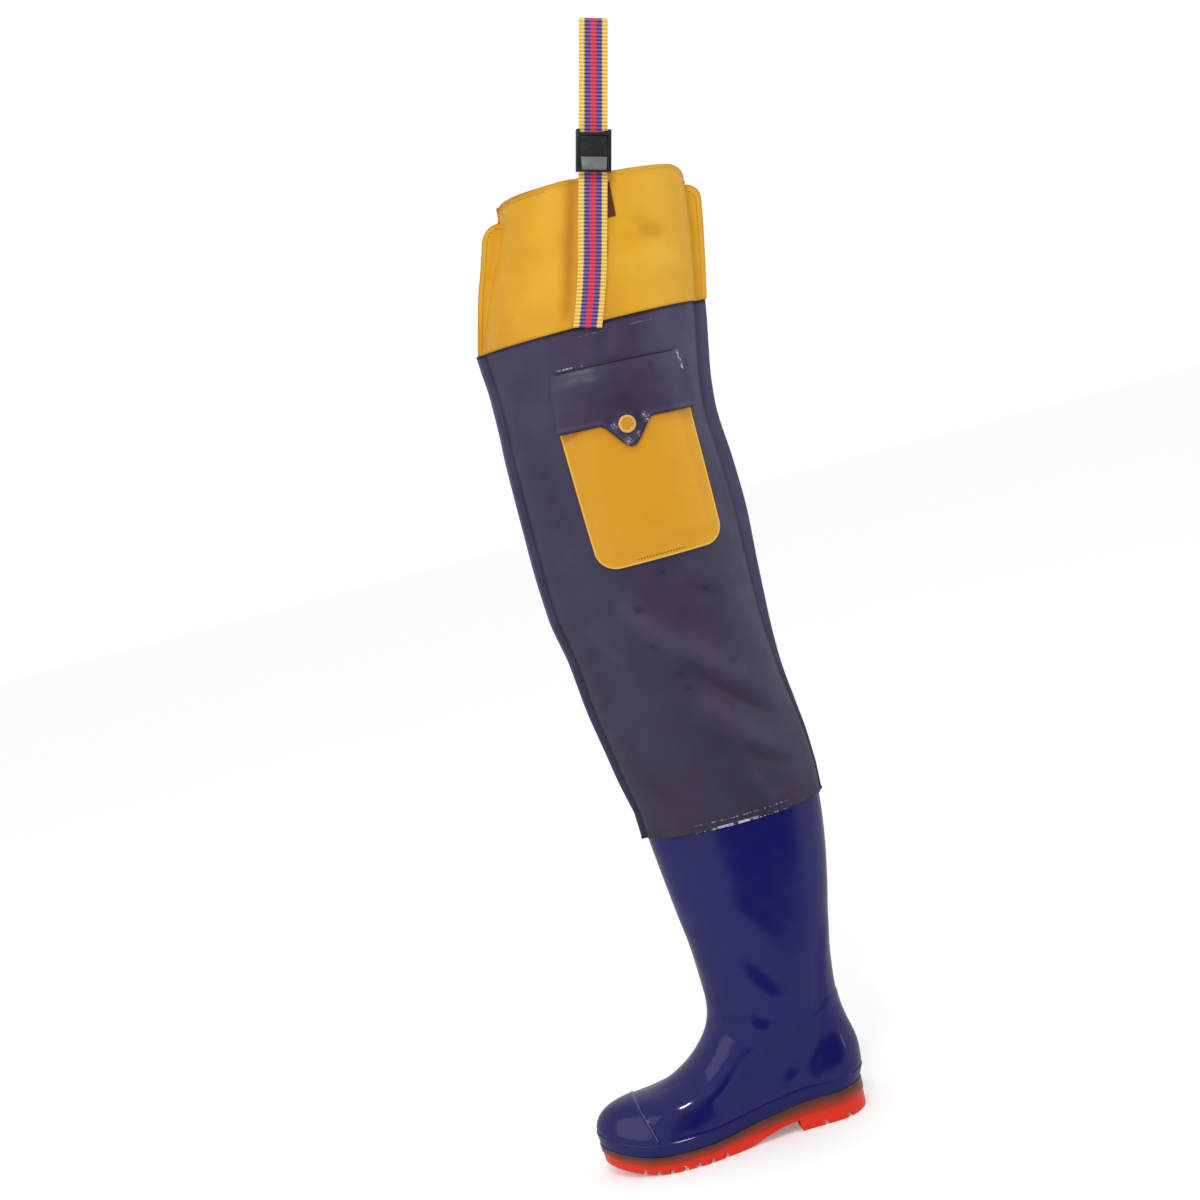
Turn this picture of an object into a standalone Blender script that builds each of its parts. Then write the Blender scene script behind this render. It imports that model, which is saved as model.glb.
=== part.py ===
"""A left hip wader, standing empty: moulded boot, welded fabric leg, cuff, pocket and belt strap.

The toe points to -X, the outer side faces -Y, and the ground is z = 0. The origin lies under
the middle of the heel. Lengths are in metres.
"""

import math
from collections import namedtuple

import bmesh
import bpy
from mathutils import Matrix, Vector

# Clearance between neighbouring pieces, and the number of facets round each half of a ring
GAP = 0.0003
HALF_RING = 18
SMOOTH_ANGLE = math.radians(40.0)

# Outsole
SOLE_LENGTH = 0.280
HEEL_SETBACK = 0.039
BALL_WIDTH = 0.104
HEEL_SOLE_HEIGHT = 0.031
SOLE_LEDGE = 0.0018
SOLE_EDGE_STEP = 0.0013
TOE_SPRING = 0.013
TOE_SPRING_START = 0.76
HEEL_SEAT_LENGTH = 0.076
ARCH_RISE = 0.012
ARCH_LENGTH = 0.058
ARCH_FACETS = 10
ARCH_CURVE = 1.2
LUG_DEPTH = 0.0045
CHANNEL_WIDTH = 0.0060
CHANNEL_TAPER = 0.6
HEEL_CHANNELS = 2
FOREFOOT_CHANNELS = 7
FOREFOOT_PITCH = 0.0145
CHEVRON_ANGLE = math.radians(14.0)

# Boot upper
BOOT_WALL = 0.0024
THROAT_HEIGHT = 0.150
THROAT_FRONT = 0.098
THROAT_BACK = 0.041
ANKLE_HALF_WIDTH = 0.047
BOOT_TOP_HEIGHT = 0.358
BOOT_TOP_FRONT = 0.1145
BOOT_TOP_BACK = 0.0705
BOOT_TOP_HALF_WIDTH = 0.057
THROAT_TILT = 0.021
TILT_END = 0.42
TILT_CURVE = 1.5
RELIEF = 0.0010
CUT_SNAP = 0.0001
RAND_HEIGHT = 0.012
TOE_CAP_LENGTH = 0.058
TOE_CAP_SLANT = math.radians(16.0)
COUNTER_HEIGHT = 0.128
COUNTER_LENGTH = 0.060
COUNTER_SLANT = math.radians(21.0)

# Insole
INSOLE_THICKNESS = 0.0040
INSOLE_PLAY = 0.0024

# Fabric leg
LEG_WALL = 0.0011
BOOT_LAP = 0.028
LEG_HALF_DEPTH_GAIN = 0.021
FRONT_GAIN = 0.0345
BACK_HOLLOW = 0.017
BACK_TAPER = 0.0045
SEAM_THICKNESS = 0.0024
SEAM_FRONT = 0.0080
SEAM_BACK = 0.0130
SEAM_SPOTS = (1.0, 0.35, -0.35, -1.0)

# Cuff
CUFF_WALL = 0.0015
CUFF_BOTTOM = 0.845
CUFF_TOP = 0.985
CUFF_LAP = 0.024
CUFF_FRONT_LEAN = 0.0530
CUFF_BACK_LEAN = 0.0185
CUFF_DEPTH_GAIN = 0.0070
CUFF_SEAM_START = 0.0045
CUFF_SEAM_FRONT = 0.0210
CUFF_SEAM_BACK = 0.0170
CUFF_SEAM_DROP = 0.0175
CUFF_CORNER = 0.0180
CUFF_TILT = 0.0080
RIM_CORNER = 0.0220
RIM_FRONT_FALL = 0.0030
RIM_BACK_FALL = 0.0140
HEM_HEIGHT = 0.0090
HEM_STEP = 0.0006

# Pocket, flap and snap button, on the outer side of the leg
SHEET = 0.0012
SHEET_GAP = 0.0005
POCKET_LEFT = -0.1040
POCKET_WIDTH = 0.1350
POCKET_BOTTOM = 0.608
POCKET_TOP = 0.778
POCKET_TAPER = 0.0060
POCKET_CORNER = 0.020
POCKET_PUFF = 0.0034
POCKET_WELD = 0.007
PUFF_RAMP = 0.0175
POCKET_ROW_CURVE = 1.5
POCKET_MOUTH_START = 0.744
POCKET_MOUTH_INSET = 0.0080
POCKET_CELLS = (16, 12)
FLAP_LEFT = -0.0975
FLAP_RIGHT = 0.0335
FLAP_SLANT = 0.0045
FLAP_TOP = 0.808
FLAP_BOTTOM = 0.748
FLAP_DROOP = 0.0050
FLAP_RISE_SHARE = 0.22
FLAP_CELLS = (20, 7)
TAB_X = -0.0385
TAB_DROP = 0.025
TAB_HALF = 0.027
BUTTON_DIAMETER = 0.0175
BUTTON_TAPER = 0.86
BUTTON_THICKNESS = 0.0030
BUTTON_FACETS = 20
BUTTON_X = -0.0393
BUTTON_Z = 0.7432

# Belt strap and its buckle
STRAP_WIDTH = 0.0275
STRAP_THICKNESS = 0.0016
STRAP_LEAN = math.radians(14.7)
STRAP_X = -0.0477
STRAP_BOTTOM = 0.842
STRAP_TOP = 1.123
STRAP_BEND = 0.0045
STRAP_BEND_LENGTH = 0.070
STRAP_ROW = 0.020
STRAP_COLUMNS = (-0.5, -0.17, 0.17, 0.5)
BUCKLE_Z = 1.002
BUCKLE_HEIGHT = 0.040
BUCKLE_SIDE = 0.0028
BUCKLE_DEPTH = 0.0080
BUCKLE_BAR = 0.0060
WINDOW_INSET = 0.0008
EAR_HEIGHT = 0.0032
LEVER_THICKNESS = 0.0050
LIP_THICKNESS = 0.0030
LIP_WIDTH = 0.0255
LIP_HEIGHT = 0.013
LIP_ANGLE = math.radians(16.0)
LIP_SEAT = 0.10
EDGE_ROUND = 0.0008

# Sole plan from heel to toe: place along the length, then shifts and half widths of the ball width
Plan = namedtuple("Plan", "along centre half")
PLAN = [
    Plan(0.00, 0.000, 0.350),
    Plan(0.13, 0.000, 0.362),
    Plan(0.27, -0.018, 0.338),
    Plan(0.42, -0.042, 0.328),
    Plan(0.55, -0.032, 0.412),
    Plan(0.66, -0.004, 0.490),
    Plan(0.74, 0.020, 0.500),
    Plan(0.84, 0.048, 0.488),
    Plan(0.93, 0.068, 0.455),
    Plan(1.00, 0.080, 0.430),
]
HEEL_ROUND = 0.130
TOE_ROUND = 0.250

# Sole thickness from heel to toe, as shares of the heel's sole height
Thickness = namedtuple("Thickness", "along share")
THICKNESS = [
    Thickness(0.00, 1.000),
    Thickness(0.22, 0.970),
    Thickness(0.42, 0.780),
    Thickness(0.58, 0.640),
    Thickness(0.80, 0.620),
    Thickness(1.00, 0.640),
]

# Sole sides from the ground up: share of the thickness, and inset as a share of the edge step
SoleStep = namedtuple("SoleStep", "rise inset")
SOLE_STEPS = [
    SoleStep(0.00, 2.20),
    SoleStep(0.08, 1.25),
    SoleStep(0.56, 1.00),
    SoleStep(0.61, 0.00),
    SoleStep(0.93, 0.00),
    SoleStep(1.00, 0.55),
]

# Foot rings from the rand's top to the throat. The front runs from toe (1) to throat (0), heights
# are shares of the throat height, the back is a share of the heel setback, foot says how much of
# the ring is shaped like the sole plan, crown how far its sides drop, and follow how much it
# follows the sole's top. The first row is the rand's top, whose height is set above the sole.
Ring = namedtuple("Ring", "front rise back heel_rise half foot crown follow")
FOOT_RINGS = [
    Ring(1.006, 0.300, 1.13, 0.290, 0.503, 1.00, 0.00, 0.00),
    Ring(0.994, 0.356, 1.17, 0.372, 0.498, 1.00, 0.01, 0.75),
    Ring(0.940, 0.418, 1.18, 0.442, 0.478, 1.00, 0.02, 0.50),
    Ring(0.855, 0.458, 1.15, 0.505, 0.452, 0.95, 0.04, 0.25),
    Ring(0.735, 0.480, 1.10, 0.565, 0.432, 0.85, 0.06, 0.00),
    Ring(0.605, 0.490, 1.05, 0.622, 0.422, 0.70, 0.07, 0.00),
    Ring(0.478, 0.510, 1.01, 0.680, 0.420, 0.54, 0.07, 0.00),
    Ring(0.358, 0.552, 0.98, 0.742, 0.424, 0.40, 0.06, 0.00),
    Ring(0.248, 0.612, 0.97, 0.806, 0.430, 0.27, 0.05, 0.00),
    Ring(0.152, 0.688, 0.98, 0.872, 0.436, 0.16, 0.03, 0.00),
    Ring(0.074, 0.778, 1.00, 0.940, 0.442, 0.08, 0.01, 0.00),
    Ring(0.022, 0.880, 1.03, 1.015, 0.448, 0.03, 0.00, 0.00),
]

# Shaft rings from the throat to the boot's top, as shares of the way between them
Shaft = namedtuple("Shaft", "rise front back half")
SHAFT_RINGS = [
    Shaft(0.00, 0.00, 0.00, 0.00),
    Shaft(0.11, 0.02, 0.10, 0.14),
    Shaft(0.26, 0.10, 0.26, 0.32),
    Shaft(0.46, 0.40, 0.54, 0.58),
    Shaft(0.68, 0.70, 0.82, 0.82),
    Shaft(0.865, 0.92, 0.96, 0.96),
    Shaft(1.00, 1.00, 1.00, 1.00),
]

# Leg outline between boot top and cuff: height share, growth of front, hollow of back, growth of
# depth, and the two seam flanges, each as a share of its named size
Limb = namedtuple("Limb", "rise front hollow depth seam_front seam_back")
LIMB = [
    Limb(0.000, 0.00, 0.00, 0.00, 0.60, 0.20),
    Limb(0.068, 0.19, 0.10, 0.07, 0.70, 0.25),
    Limb(0.141, 0.35, 0.38, 0.18, 0.75, 0.35),
    Limb(0.234, 0.55, 0.73, 0.32, 0.82, 0.48),
    Limb(0.337, 0.68, 0.88, 0.48, 0.90, 0.70),
    Limb(0.441, 0.92, 0.85, 0.60, 0.95, 0.85),
    Limb(0.565, 0.98, 0.73, 0.71, 1.00, 0.96),
    Limb(0.669, 0.98, 0.82, 0.79, 1.00, 1.00),
    Limb(0.772, 0.97, 1.00, 0.86, 1.00, 1.00),
    Limb(0.834, 0.93, 0.86, 0.90, 1.00, 1.00),
    Limb(0.907, 0.92, 0.49, 0.95, 1.00, 1.00),
    Limb(0.973, 0.98, 0.12, 0.99, 1.00, 1.00),
    Limb(1.000, 1.00, 0.00, 1.00, 1.00, 1.00),
]

# Cuff outline from its bottom edge to its top, as shares of its leans and of its depth gain
CuffRow = namedtuple("CuffRow", "rise front back depth")
CUFF_ROWS = [
    CuffRow(0.00, 0.00, 0.00, 0.00),
    CuffRow(0.20, 0.21, 0.28, 0.25),
    CuffRow(0.40, 0.43, 0.52, 0.50),
    CuffRow(0.62, 0.71, 0.76, 0.74),
    CuffRow(0.80, 0.91, 0.91, 0.90),
    CuffRow(1.00, 1.00, 1.00, 1.00),
]

# Rings of the cuff below its flanges' corners, as shares of its height, and in those corners, as
# shares of their radius below the flanges' tops
CUFF_SHARES = (0.38, 0.60)
CORNER_SHARES = (1.0, 0.55, 0.20, 0.0)

# Colours, roughness and metal of each piece
Finish = namedtuple("Finish", "colour roughness metallic")
FINISHES = {
    "outsole": Finish((0.62, 0.03, 0.01), 0.25, 0.0),
    "boot": Finish((0.018, 0.020, 0.140), 0.15, 0.0),
    "insole": Finish((0.050, 0.050, 0.060), 0.80, 0.0),
    "leg": Finish((0.055, 0.046, 0.090), 0.50, 0.0),
    "cuff": Finish((0.760, 0.400, 0.020), 0.45, 0.0),
    "pocket": Finish((0.740, 0.380, 0.020), 0.45, 0.0),
    "pocket_flap": Finish((0.055, 0.046, 0.090), 0.45, 0.0),
    "snap_button": Finish((0.780, 0.420, 0.060), 0.35, 0.0),
    "strap_lower": Finish((0.500, 0.200, 0.150), 0.85, 0.0),
    "strap_upper": Finish((0.500, 0.200, 0.150), 0.85, 0.0),
    "buckle_frame": Finish((0.020, 0.020, 0.022), 0.35, 0.0),
    "buckle_lever": Finish((0.120, 0.125, 0.125), 0.40, 0.0),
}


# General helpers

def lerp(start, end, share):
    """The value that lies this share of the way from start to end."""
    return start + (end - start) * share


def smooth_step(share):
    """Eases from 0 to 1 over shares 0 to 1, and stays level outside them."""
    t = max(0.0, min(1.0, share))
    return t * t * (3.0 - 2.0 * t)


def read_table(rows, column, at):
    """A smooth value without overshoot of one column of a table, keyed by its first column."""
    keys = [row[0] for row in rows]
    values = [getattr(row, column) for row in rows]
    if at <= keys[0]:
        return values[0]
    if at >= keys[-1]:
        return values[-1]
    slopes = [(values[i + 1] - values[i]) / (keys[i + 1] - keys[i]) for i in range(len(keys) - 1)]
    tangents = [slopes[0]]
    for before, after in zip(slopes, slopes[1:]):
        level = before * after <= 0.0
        tangents.append(0.0 if level else 2.0 * before * after / (before + after))
    tangents.append(slopes[-1])
    i = max(k for k in range(len(keys) - 1) if keys[k] <= at)
    span = keys[i + 1] - keys[i]
    t = (at - keys[i]) / span
    start_pull = t * (1.0 - t) ** 2 * span * tangents[i]
    end_pull = t * t * (t - 1.0) * span * tangents[i + 1]
    return lerp(values[i], values[i + 1], smooth_step(t)) + start_pull + end_pull


def corner_inset(distance, radius):
    """How far a rounded side lies inside a square one, this far from the end."""
    if distance >= radius:
        return 0.0
    return radius - math.sqrt(radius ** 2 - (radius - distance) ** 2)


def ring_angles():
    """Angles round a ring, from its back over the outer side to its front and home again."""
    return [math.pi * i / HALF_RING for i in range(2 * HALF_RING)]


def make_material(name):
    """One Principled material for a piece."""
    finish = FINISHES[name]
    material = bpy.data.materials.new(name)
    material.use_nodes = True
    shader = material.node_tree.nodes["Principled BSDF"]
    shader.inputs["Base Color"].default_value = (*finish.colour, 1.0)
    shader.inputs["Roughness"].default_value = finish.roughness
    shader.inputs["Metallic"].default_value = finish.metallic
    return material


def make_collection(name, hidden=False):
    """A collection in the scene; the hidden one holds the cutters."""
    collection = bpy.data.collections.new(name)
    collection.hide_render = hidden
    bpy.context.scene.collection.children.link(collection)
    return collection


def object_from(mesh_builder, name, collection, smooth=True):
    """A named object whose mesh is made by mesh_builder, with a closed mesh's faces pointing out."""
    bm = bmesh.new()
    mesh_builder(bm)
    if not any(edge.is_boundary for edge in bm.edges):
        bmesh.ops.recalc_face_normals(bm, faces=bm.faces)
    mesh = bpy.data.meshes.new(name)
    bm.to_mesh(mesh)
    bm.free()
    if smooth:
        mesh.shade_smooth()
        mesh.set_sharp_from_angle(angle=SMOOTH_ANGLE)
    piece = bpy.data.objects.new(name, mesh)
    collection.objects.link(piece)
    if name in FINISHES:
        mesh.materials.append(make_material(name))
    return piece


def cut(piece, cutter, operation):
    """Cuts or joins a piece with another, and hides that one as a guide."""
    modifier = piece.modifiers.new(operation.title() + " " + cutter.name, "BOOLEAN")
    modifier.operation = operation
    modifier.solver = "EXACT"
    modifier.object = cutter
    cutter.hide_render = True
    cutter.display_type = "WIRE"


def skin(bm, rings, closed=True):
    """Faces between neighbouring rings of vertices, which all have the same count."""
    for lower, upper in zip(rings, rings[1:]):
        count = len(lower)
        for i in range(count if closed else count - 1):
            j = (i + 1) % count
            bm.faces.new((lower[i], upper[i], upper[j], lower[j]))


def add_rings(bm, rings):
    """Vertices for lists of points."""
    return [[bm.verts.new(point) for point in ring] for ring in rings]


def close_across(bm, ring):
    """Closes a ring by strips that run straight across it, outer side to inner side."""
    half = len(ring) // 2
    for i in range(half):
        a, b = ring[i], ring[i + 1]
        c, d = ring[(-i - 1) % len(ring)], ring[(-i) % len(ring)]
        corners = [a, b] + [v for v in (c, d) if v not in (a, b)]
        bm.faces.new(corners)


def wall_between(bm, outer, inner):
    """A wall open at both ends, between an outer and an inner stack of rings."""
    outer_rings = add_rings(bm, outer)
    inner_rings = add_rings(bm, inner)
    skin(bm, outer_rings)
    skin(bm, inner_rings)
    skin(bm, [outer_rings[0], inner_rings[0]])
    skin(bm, [outer_rings[-1], inner_rings[-1]])


# Outsole and insole

def sole_top(along):
    """Height of the sole's upper side, heel (0) to toe (1)."""
    return sole_bottom(along) + HEEL_SOLE_HEIGHT * read_table(THICKNESS, "share", along)


def past_spring(along):
    """How far this place lies along the toe spring: 0 up to its start, 1 at the toe."""
    return max(0.0, along - TOE_SPRING_START) / (1.0 - TOE_SPRING_START)


def sole_bottom(along):
    """Height of the sole's underside before the arch is cut: flat, then the toe spring."""
    return TOE_SPRING * past_spring(along) ** 2


def sole_slope(along):
    """Angle at which the sole's underside rises towards the toe."""
    run = (1.0 - TOE_SPRING_START) * SOLE_LENGTH
    return math.atan2(2.0 * TOE_SPRING * past_spring(along), run)


def plan_width(along):
    """Half width of the sole plan as a share of its half width at the ball, with round ends."""
    from_toe = 1.0 - along
    heel = math.sqrt(1.0 - (1.0 - min(along / HEEL_ROUND, 1.0)) ** 2)
    toe = math.sqrt(1.0 - (1.0 - min(from_toe / TOE_ROUND, 1.0)) ** 2)
    return 2.0 * read_table(PLAN, "half", along) * heel * toe


def plan_shift(along):
    """Sideways shift of the sole plan as a share of its half width at the ball."""
    return 2.0 * read_table(PLAN, "centre", along)


def plan_ring(inset, height):
    """A ring on the sole plan, drawn in by inset, at the height that the function gives."""
    back = HEEL_SETBACK - inset
    front = HEEL_SETBACK - SOLE_LENGTH + inset
    half = BALL_WIDTH / 2.0 - inset
    points = []
    for angle in ring_angles():
        along = (1.0 - math.cos(angle)) / 2.0
        side = -1.0 if angle <= math.pi else 1.0
        y = half * (plan_shift(along) + side * plan_width(along))
        points.append((lerp(back, front, along), y, height(along)))
    return points


def build_outsole_body(bm):
    """The sole's plan raised through the steps of its side."""
    rings = []
    for step in SOLE_STEPS:
        def height(along, rise=step.rise):
            return lerp(sole_bottom(along), sole_top(along), rise)
        rings.append(plan_ring(step.inset * SOLE_EDGE_STEP, height))
    made = add_rings(bm, rings)
    skin(bm, made)
    close_across(bm, made[0])
    close_across(bm, made[-1])


def build_arch_cutter(bm):
    """The space under the arch, from the heel's breast to the forefoot."""
    breast = HEEL_SETBACK - HEEL_SEAT_LENGTH
    line = [(breast, -LUG_DEPTH)]
    for i in range(ARCH_FACETS + 1):
        share = i / ARCH_FACETS
        rise = ARCH_RISE * math.cos(share * math.pi / 2.0) ** ARCH_CURVE
        line.append((breast - LUG_DEPTH / 2.0 - ARCH_LENGTH * share, rise))
    line.append((line[-1][0] - CHANNEL_WIDTH, -LUG_DEPTH))
    sides = [[(x, y, z) for x, z in line] for y in (-BALL_WIDTH, BALL_WIDTH)]
    made = add_rings(bm, sides)
    skin(bm, made)
    bm.faces.new(made[0])
    bm.faces.new(made[1])


def add_bar(bm, x, half_angle, side):
    """One tapered half channel across the tread, from the middle line out to one side."""
    along = (HEEL_SETBACK - x) / SOLE_LENGTH
    made = bmesh.ops.create_cube(bm, size=1.0)["verts"]
    size = Matrix.Diagonal((CHANNEL_WIDTH, BALL_WIDTH, 2.0 * LUG_DEPTH, 1.0))
    bmesh.ops.transform(bm, matrix=size, verts=made)
    for vert in made:
        if vert.co.z > 0.0:
            vert.co.x *= CHANNEL_TAPER
        vert.co.y += side * (BALL_WIDTH / 2.0 - CHANNEL_WIDTH / 4.0)
    turn = Matrix.Rotation(side * half_angle, 4, "Z")
    lean = Matrix.Rotation(sole_slope(along), 4, "Y")
    place = Matrix.Translation((x, 0.0, sole_bottom(along)))
    bmesh.ops.transform(bm, matrix=place @ lean @ turn, verts=made)


def channel_places():
    """Where the tread's channels cross the middle line, with each one's chevron angle."""
    places = []
    for i in range(HEEL_CHANNELS):
        share = (i + 1) / (HEEL_CHANNELS + 1)
        places.append((HEEL_SETBACK - HEEL_SEAT_LENGTH * share, 0.0))
    first = HEEL_SETBACK - HEEL_SEAT_LENGTH - ARCH_LENGTH - FOREFOOT_PITCH
    for i in range(FOREFOOT_CHANNELS):
        places.append((first - FOREFOOT_PITCH * i, CHEVRON_ANGLE))
    return places


def make_outsole(parts, cutters):
    """The outsole: stepped sides, arch, heel, toe spring and channels between the lugs."""
    sole = object_from(build_outsole_body, "outsole", parts)
    arch = object_from(build_arch_cutter, "arch space", cutters, smooth=False)
    cut(sole, arch, "DIFFERENCE")
    for number, (x, angle) in enumerate(channel_places()):
        for side in (-1.0, 1.0):
            def build(bm, x=x, angle=angle, side=side):
                add_bar(bm, x, angle, side)
            word = "outer" if side < 0.0 else "inner"
            channel = object_from(build, f"channel {number} {word}", cutters, smooth=False)
            cut(sole, channel, "DIFFERENCE")
    return sole


def make_insole(parts):
    """A flat insole that lies on the sole inside the upper."""
    inset = SOLE_LEDGE + BOOT_WALL + INSOLE_PLAY

    def build(bm):
        under = plan_ring(inset, lambda along: sole_top(along) + GAP)
        over = plan_ring(inset, lambda along: sole_top(along) + GAP + INSOLE_THICKNESS)
        made = add_rings(bm, [under, over])
        skin(bm, made)
        close_across(bm, made[0])
        close_across(bm, made[1])

    return object_from(build, "insole", parts)


# Boot upper

def foot_ring(row, grow=0.0):
    """One ring of the foot, on a plane through its front and back points."""
    toe = SOLE_LENGTH - HEEL_SETBACK - SOLE_LEDGE
    front = -lerp(THROAT_FRONT, toe, row.front) - grow
    back = HEEL_SETBACK * row.back - SOLE_LEDGE + grow
    low = THROAT_HEIGHT * row.heel_rise
    high = THROAT_HEIGHT * row.rise
    half = BALL_WIDTH * row.half + grow
    points = []
    for angle in ring_angles():
        along = (1.0 - math.cos(angle)) / 2.0
        side = -1.0 if angle <= math.pi else 1.0
        foot = plan_shift(along) + side * plan_width(along)
        oval = side * abs(math.sin(angle))
        sideways = lerp(oval, foot, row.foot)
        sole = sole_top(along) - lerp(sole_top(0.0), sole_top(1.0), along)
        z = lerp(low, high, along) + row.follow * sole
        z -= THROAT_HEIGHT * row.crown * min(1.0, sideways * sideways)
        points.append((lerp(back, front, along), half * sideways, z))
    return points


def feather_ring(lift, grow=0.0):
    """A ring over the sole's ledge, lifted off it."""
    return plan_ring(SOLE_LEDGE - grow, lambda along: sole_top(along) + GAP + lift)


def boot_oval(height, grow=0.0):
    """Front, back and half width of the boot's shaft at a height above the throat."""
    rise = (height - THROAT_HEIGHT) / (BOOT_TOP_HEIGHT - THROAT_HEIGHT)
    front = lerp(THROAT_FRONT, BOOT_TOP_FRONT, read_table(SHAFT_RINGS, "front", rise))
    back = lerp(THROAT_BACK, BOOT_TOP_BACK, read_table(SHAFT_RINGS, "back", rise))
    half = lerp(ANKLE_HALF_WIDTH, BOOT_TOP_HALF_WIDTH, read_table(SHAFT_RINGS, "half", rise))
    return -front - grow, back + grow, half + grow


def oval_ring(outline, height):
    """A level oval ring of the given front, back and half width."""
    front, back, half = outline
    middle = (front + back) / 2.0
    reach = (back - front) / 2.0
    ring = []
    for angle in ring_angles():
        ring.append((middle + reach * math.cos(angle), -half * math.sin(angle), height))
    return ring


def throat_tilt(rise):
    """How far the back of a shaft ring lies above its front, easing out above the throat."""
    return THROAT_TILT * max(0.0, 1.0 - rise / TILT_END) ** TILT_CURVE


def shaft_ring(row):
    """One ring of the shaft; those near the throat still tilt a little."""
    height = lerp(THROAT_HEIGHT, BOOT_TOP_HEIGHT, row.rise)
    outline = boot_oval(height)
    front, back, _ = outline
    tilt = throat_tilt(row.rise)
    ring = oval_ring(outline, height)
    return [(x, y, z + tilt * (x - front) / (back - front)) for x, y, z in ring]


def rand_ring(lift, grow):
    """A ring of the rand's top, at an even height above the sole."""
    foot = foot_ring(FOOT_RINGS[0], grow)
    return [(x, y, level[2]) for (x, y, _), level in zip(foot, feather_ring(lift))]


def boot_rings():
    """All rings of the boot's outer face, from the feather edge up, with the rand's step."""
    rings = [
        feather_ring(0.0, RELIEF / 2.0),
        rand_ring(RAND_HEIGHT, RELIEF),
        rand_ring(RAND_HEIGHT + RELIEF, 0.0),
    ]
    rings += [foot_ring(row) for row in FOOT_RINGS[1:]]
    return rings + [shaft_ring(row) for row in SHAFT_RINGS]


def raise_behind(bm, planes):
    """Raises the skin above the rand that lies behind every plane, with a ramp at its edge."""
    for point, normal in planes:
        for depth in (0.0, RELIEF):
            geometry = bm.verts[:] + bm.edges[:] + bm.faces[:]
            bmesh.ops.bisect_plane(
                bm, geom=geometry, dist=CUT_SNAP, plane_co=point - normal * depth, plane_no=normal
            )
    bm.normal_update()
    raised = []
    for vert in bm.verts:
        along = (HEEL_SETBACK - vert.co.x) / SOLE_LENGTH
        over_rand = vert.co.z > sole_top(along) + RAND_HEIGHT + RELIEF / 2.0
        behind = all((vert.co - point).dot(normal) < CUT_SNAP - RELIEF for point, normal in planes)
        if over_rand and behind:
            raised.append((vert, vert.normal.copy()))
    for vert, outward in raised:
        vert.co += outward * RELIEF


def build_boot_face(bm):
    """The boot's outer face as an open skin, with its toe cap and heel counter raised."""
    skin(bm, add_rings(bm, boot_rings()))
    raise_behind(bm, toe_cap_planes())
    raise_behind(bm, counter_planes())


def toe_cap_planes():
    """The toe cap lies in front of one slanted plane."""
    edge = HEEL_SETBACK - SOLE_LENGTH + TOE_CAP_LENGTH
    normal = (math.cos(TOE_CAP_SLANT), 0.0, math.sin(TOE_CAP_SLANT))
    return [(Vector((edge, 0.0, sole_top(1.0))), Vector(normal))]


def counter_planes():
    """The heel counter lies behind a slanted plane and under a level one."""
    edge = HEEL_SETBACK - COUNTER_LENGTH
    slanted = (-math.cos(COUNTER_SLANT), 0.0, math.sin(COUNTER_SLANT))
    return [
        (Vector((edge, 0.0, HEEL_SOLE_HEIGHT)), Vector(slanted)),
        (Vector((0.0, 0.0, COUNTER_HEIGHT)), Vector((0.0, 0.0, 1.0))),
    ]


def make_boot(parts):
    """The moulded upper: one hollow wall, with toe cap, counter and rand as steps in it."""
    boot = object_from(build_boot_face, "boot", parts)
    wall = boot.modifiers.new("Wall", "SOLIDIFY")
    wall.thickness = BOOT_WALL
    wall.offset = -1.0
    return boot


# Fabric leg and cuff

def leg_start():
    """Height of the leg's bottom edge on the boot."""
    return BOOT_TOP_HEIGHT - BOOT_LAP


def limb_outline(height):
    """Front, back and half depth of the leg's outer face at a height, from lap to cuff top."""
    cover = GAP + LEG_WALL
    if height <= BOOT_TOP_HEIGHT:
        return boot_oval(height, cover)
    front, back, half = boot_oval(BOOT_TOP_HEIGHT, cover)
    rise = (height - BOOT_TOP_HEIGHT) / (CUFF_BOTTOM - BOOT_TOP_HEIGHT)
    front -= FRONT_GAIN * read_table(LIMB, "front", rise)
    back -= BACK_HOLLOW * read_table(LIMB, "hollow", rise) + BACK_TAPER * min(rise, 1.0)
    half += LEG_HALF_DEPTH_GAIN * read_table(LIMB, "depth", rise)
    up = (height - CUFF_BOTTOM) / (CUFF_TOP - CUFF_BOTTOM)
    front += CUFF_FRONT_LEAN * read_table(CUFF_ROWS, "front", up)
    back += CUFF_BACK_LEAN * read_table(CUFF_ROWS, "back", up)
    half += CUFF_DEPTH_GAIN * read_table(CUFF_ROWS, "depth", up)
    return front, back, half


def grown(outline, by):
    """An outline made larger all round."""
    front, back, half = outline
    return front - by, back + by, half + by


def seamed_ring(outline, height, seam_front, seam_back):
    """A level ring with a flat seam flange that stands out at its front and its back."""
    front, back, _ = outline
    ring = oval_ring(outline, height)
    edge = SEAM_THICKNESS / 2.0
    at_back = [(back, edge), (back + seam_back, edge), (back + seam_back, -edge), (back, -edge)]
    at_front = [(front, -edge), (front - seam_front, -edge), (front - seam_front, edge), (front, edge)]
    start = [(x, y, height) for x, y in at_back]
    middle = [(x, y, height) for x, y in at_front]
    return start + ring[1:HALF_RING] + middle + ring[HALF_RING + 1:]


def plain_ring(outline, height):
    """The same count of points as a seamed ring, with no flange."""
    front, back, half = outline
    ring = oval_ring(outline, height)
    spots = [SEAM_THICKNESS / 2.0 * share for share in SEAM_SPOTS]
    reach = (back - front) / 2.0
    start = []
    middle = []
    for y in spots:
        short = reach * (1.0 - math.sqrt(1.0 - (y / half) ** 2))
        start.append((back - short, y, height))
        middle.append((front + short, -y, height))
    return start + ring[1:HALF_RING] + middle + ring[HALF_RING + 1:]


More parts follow.
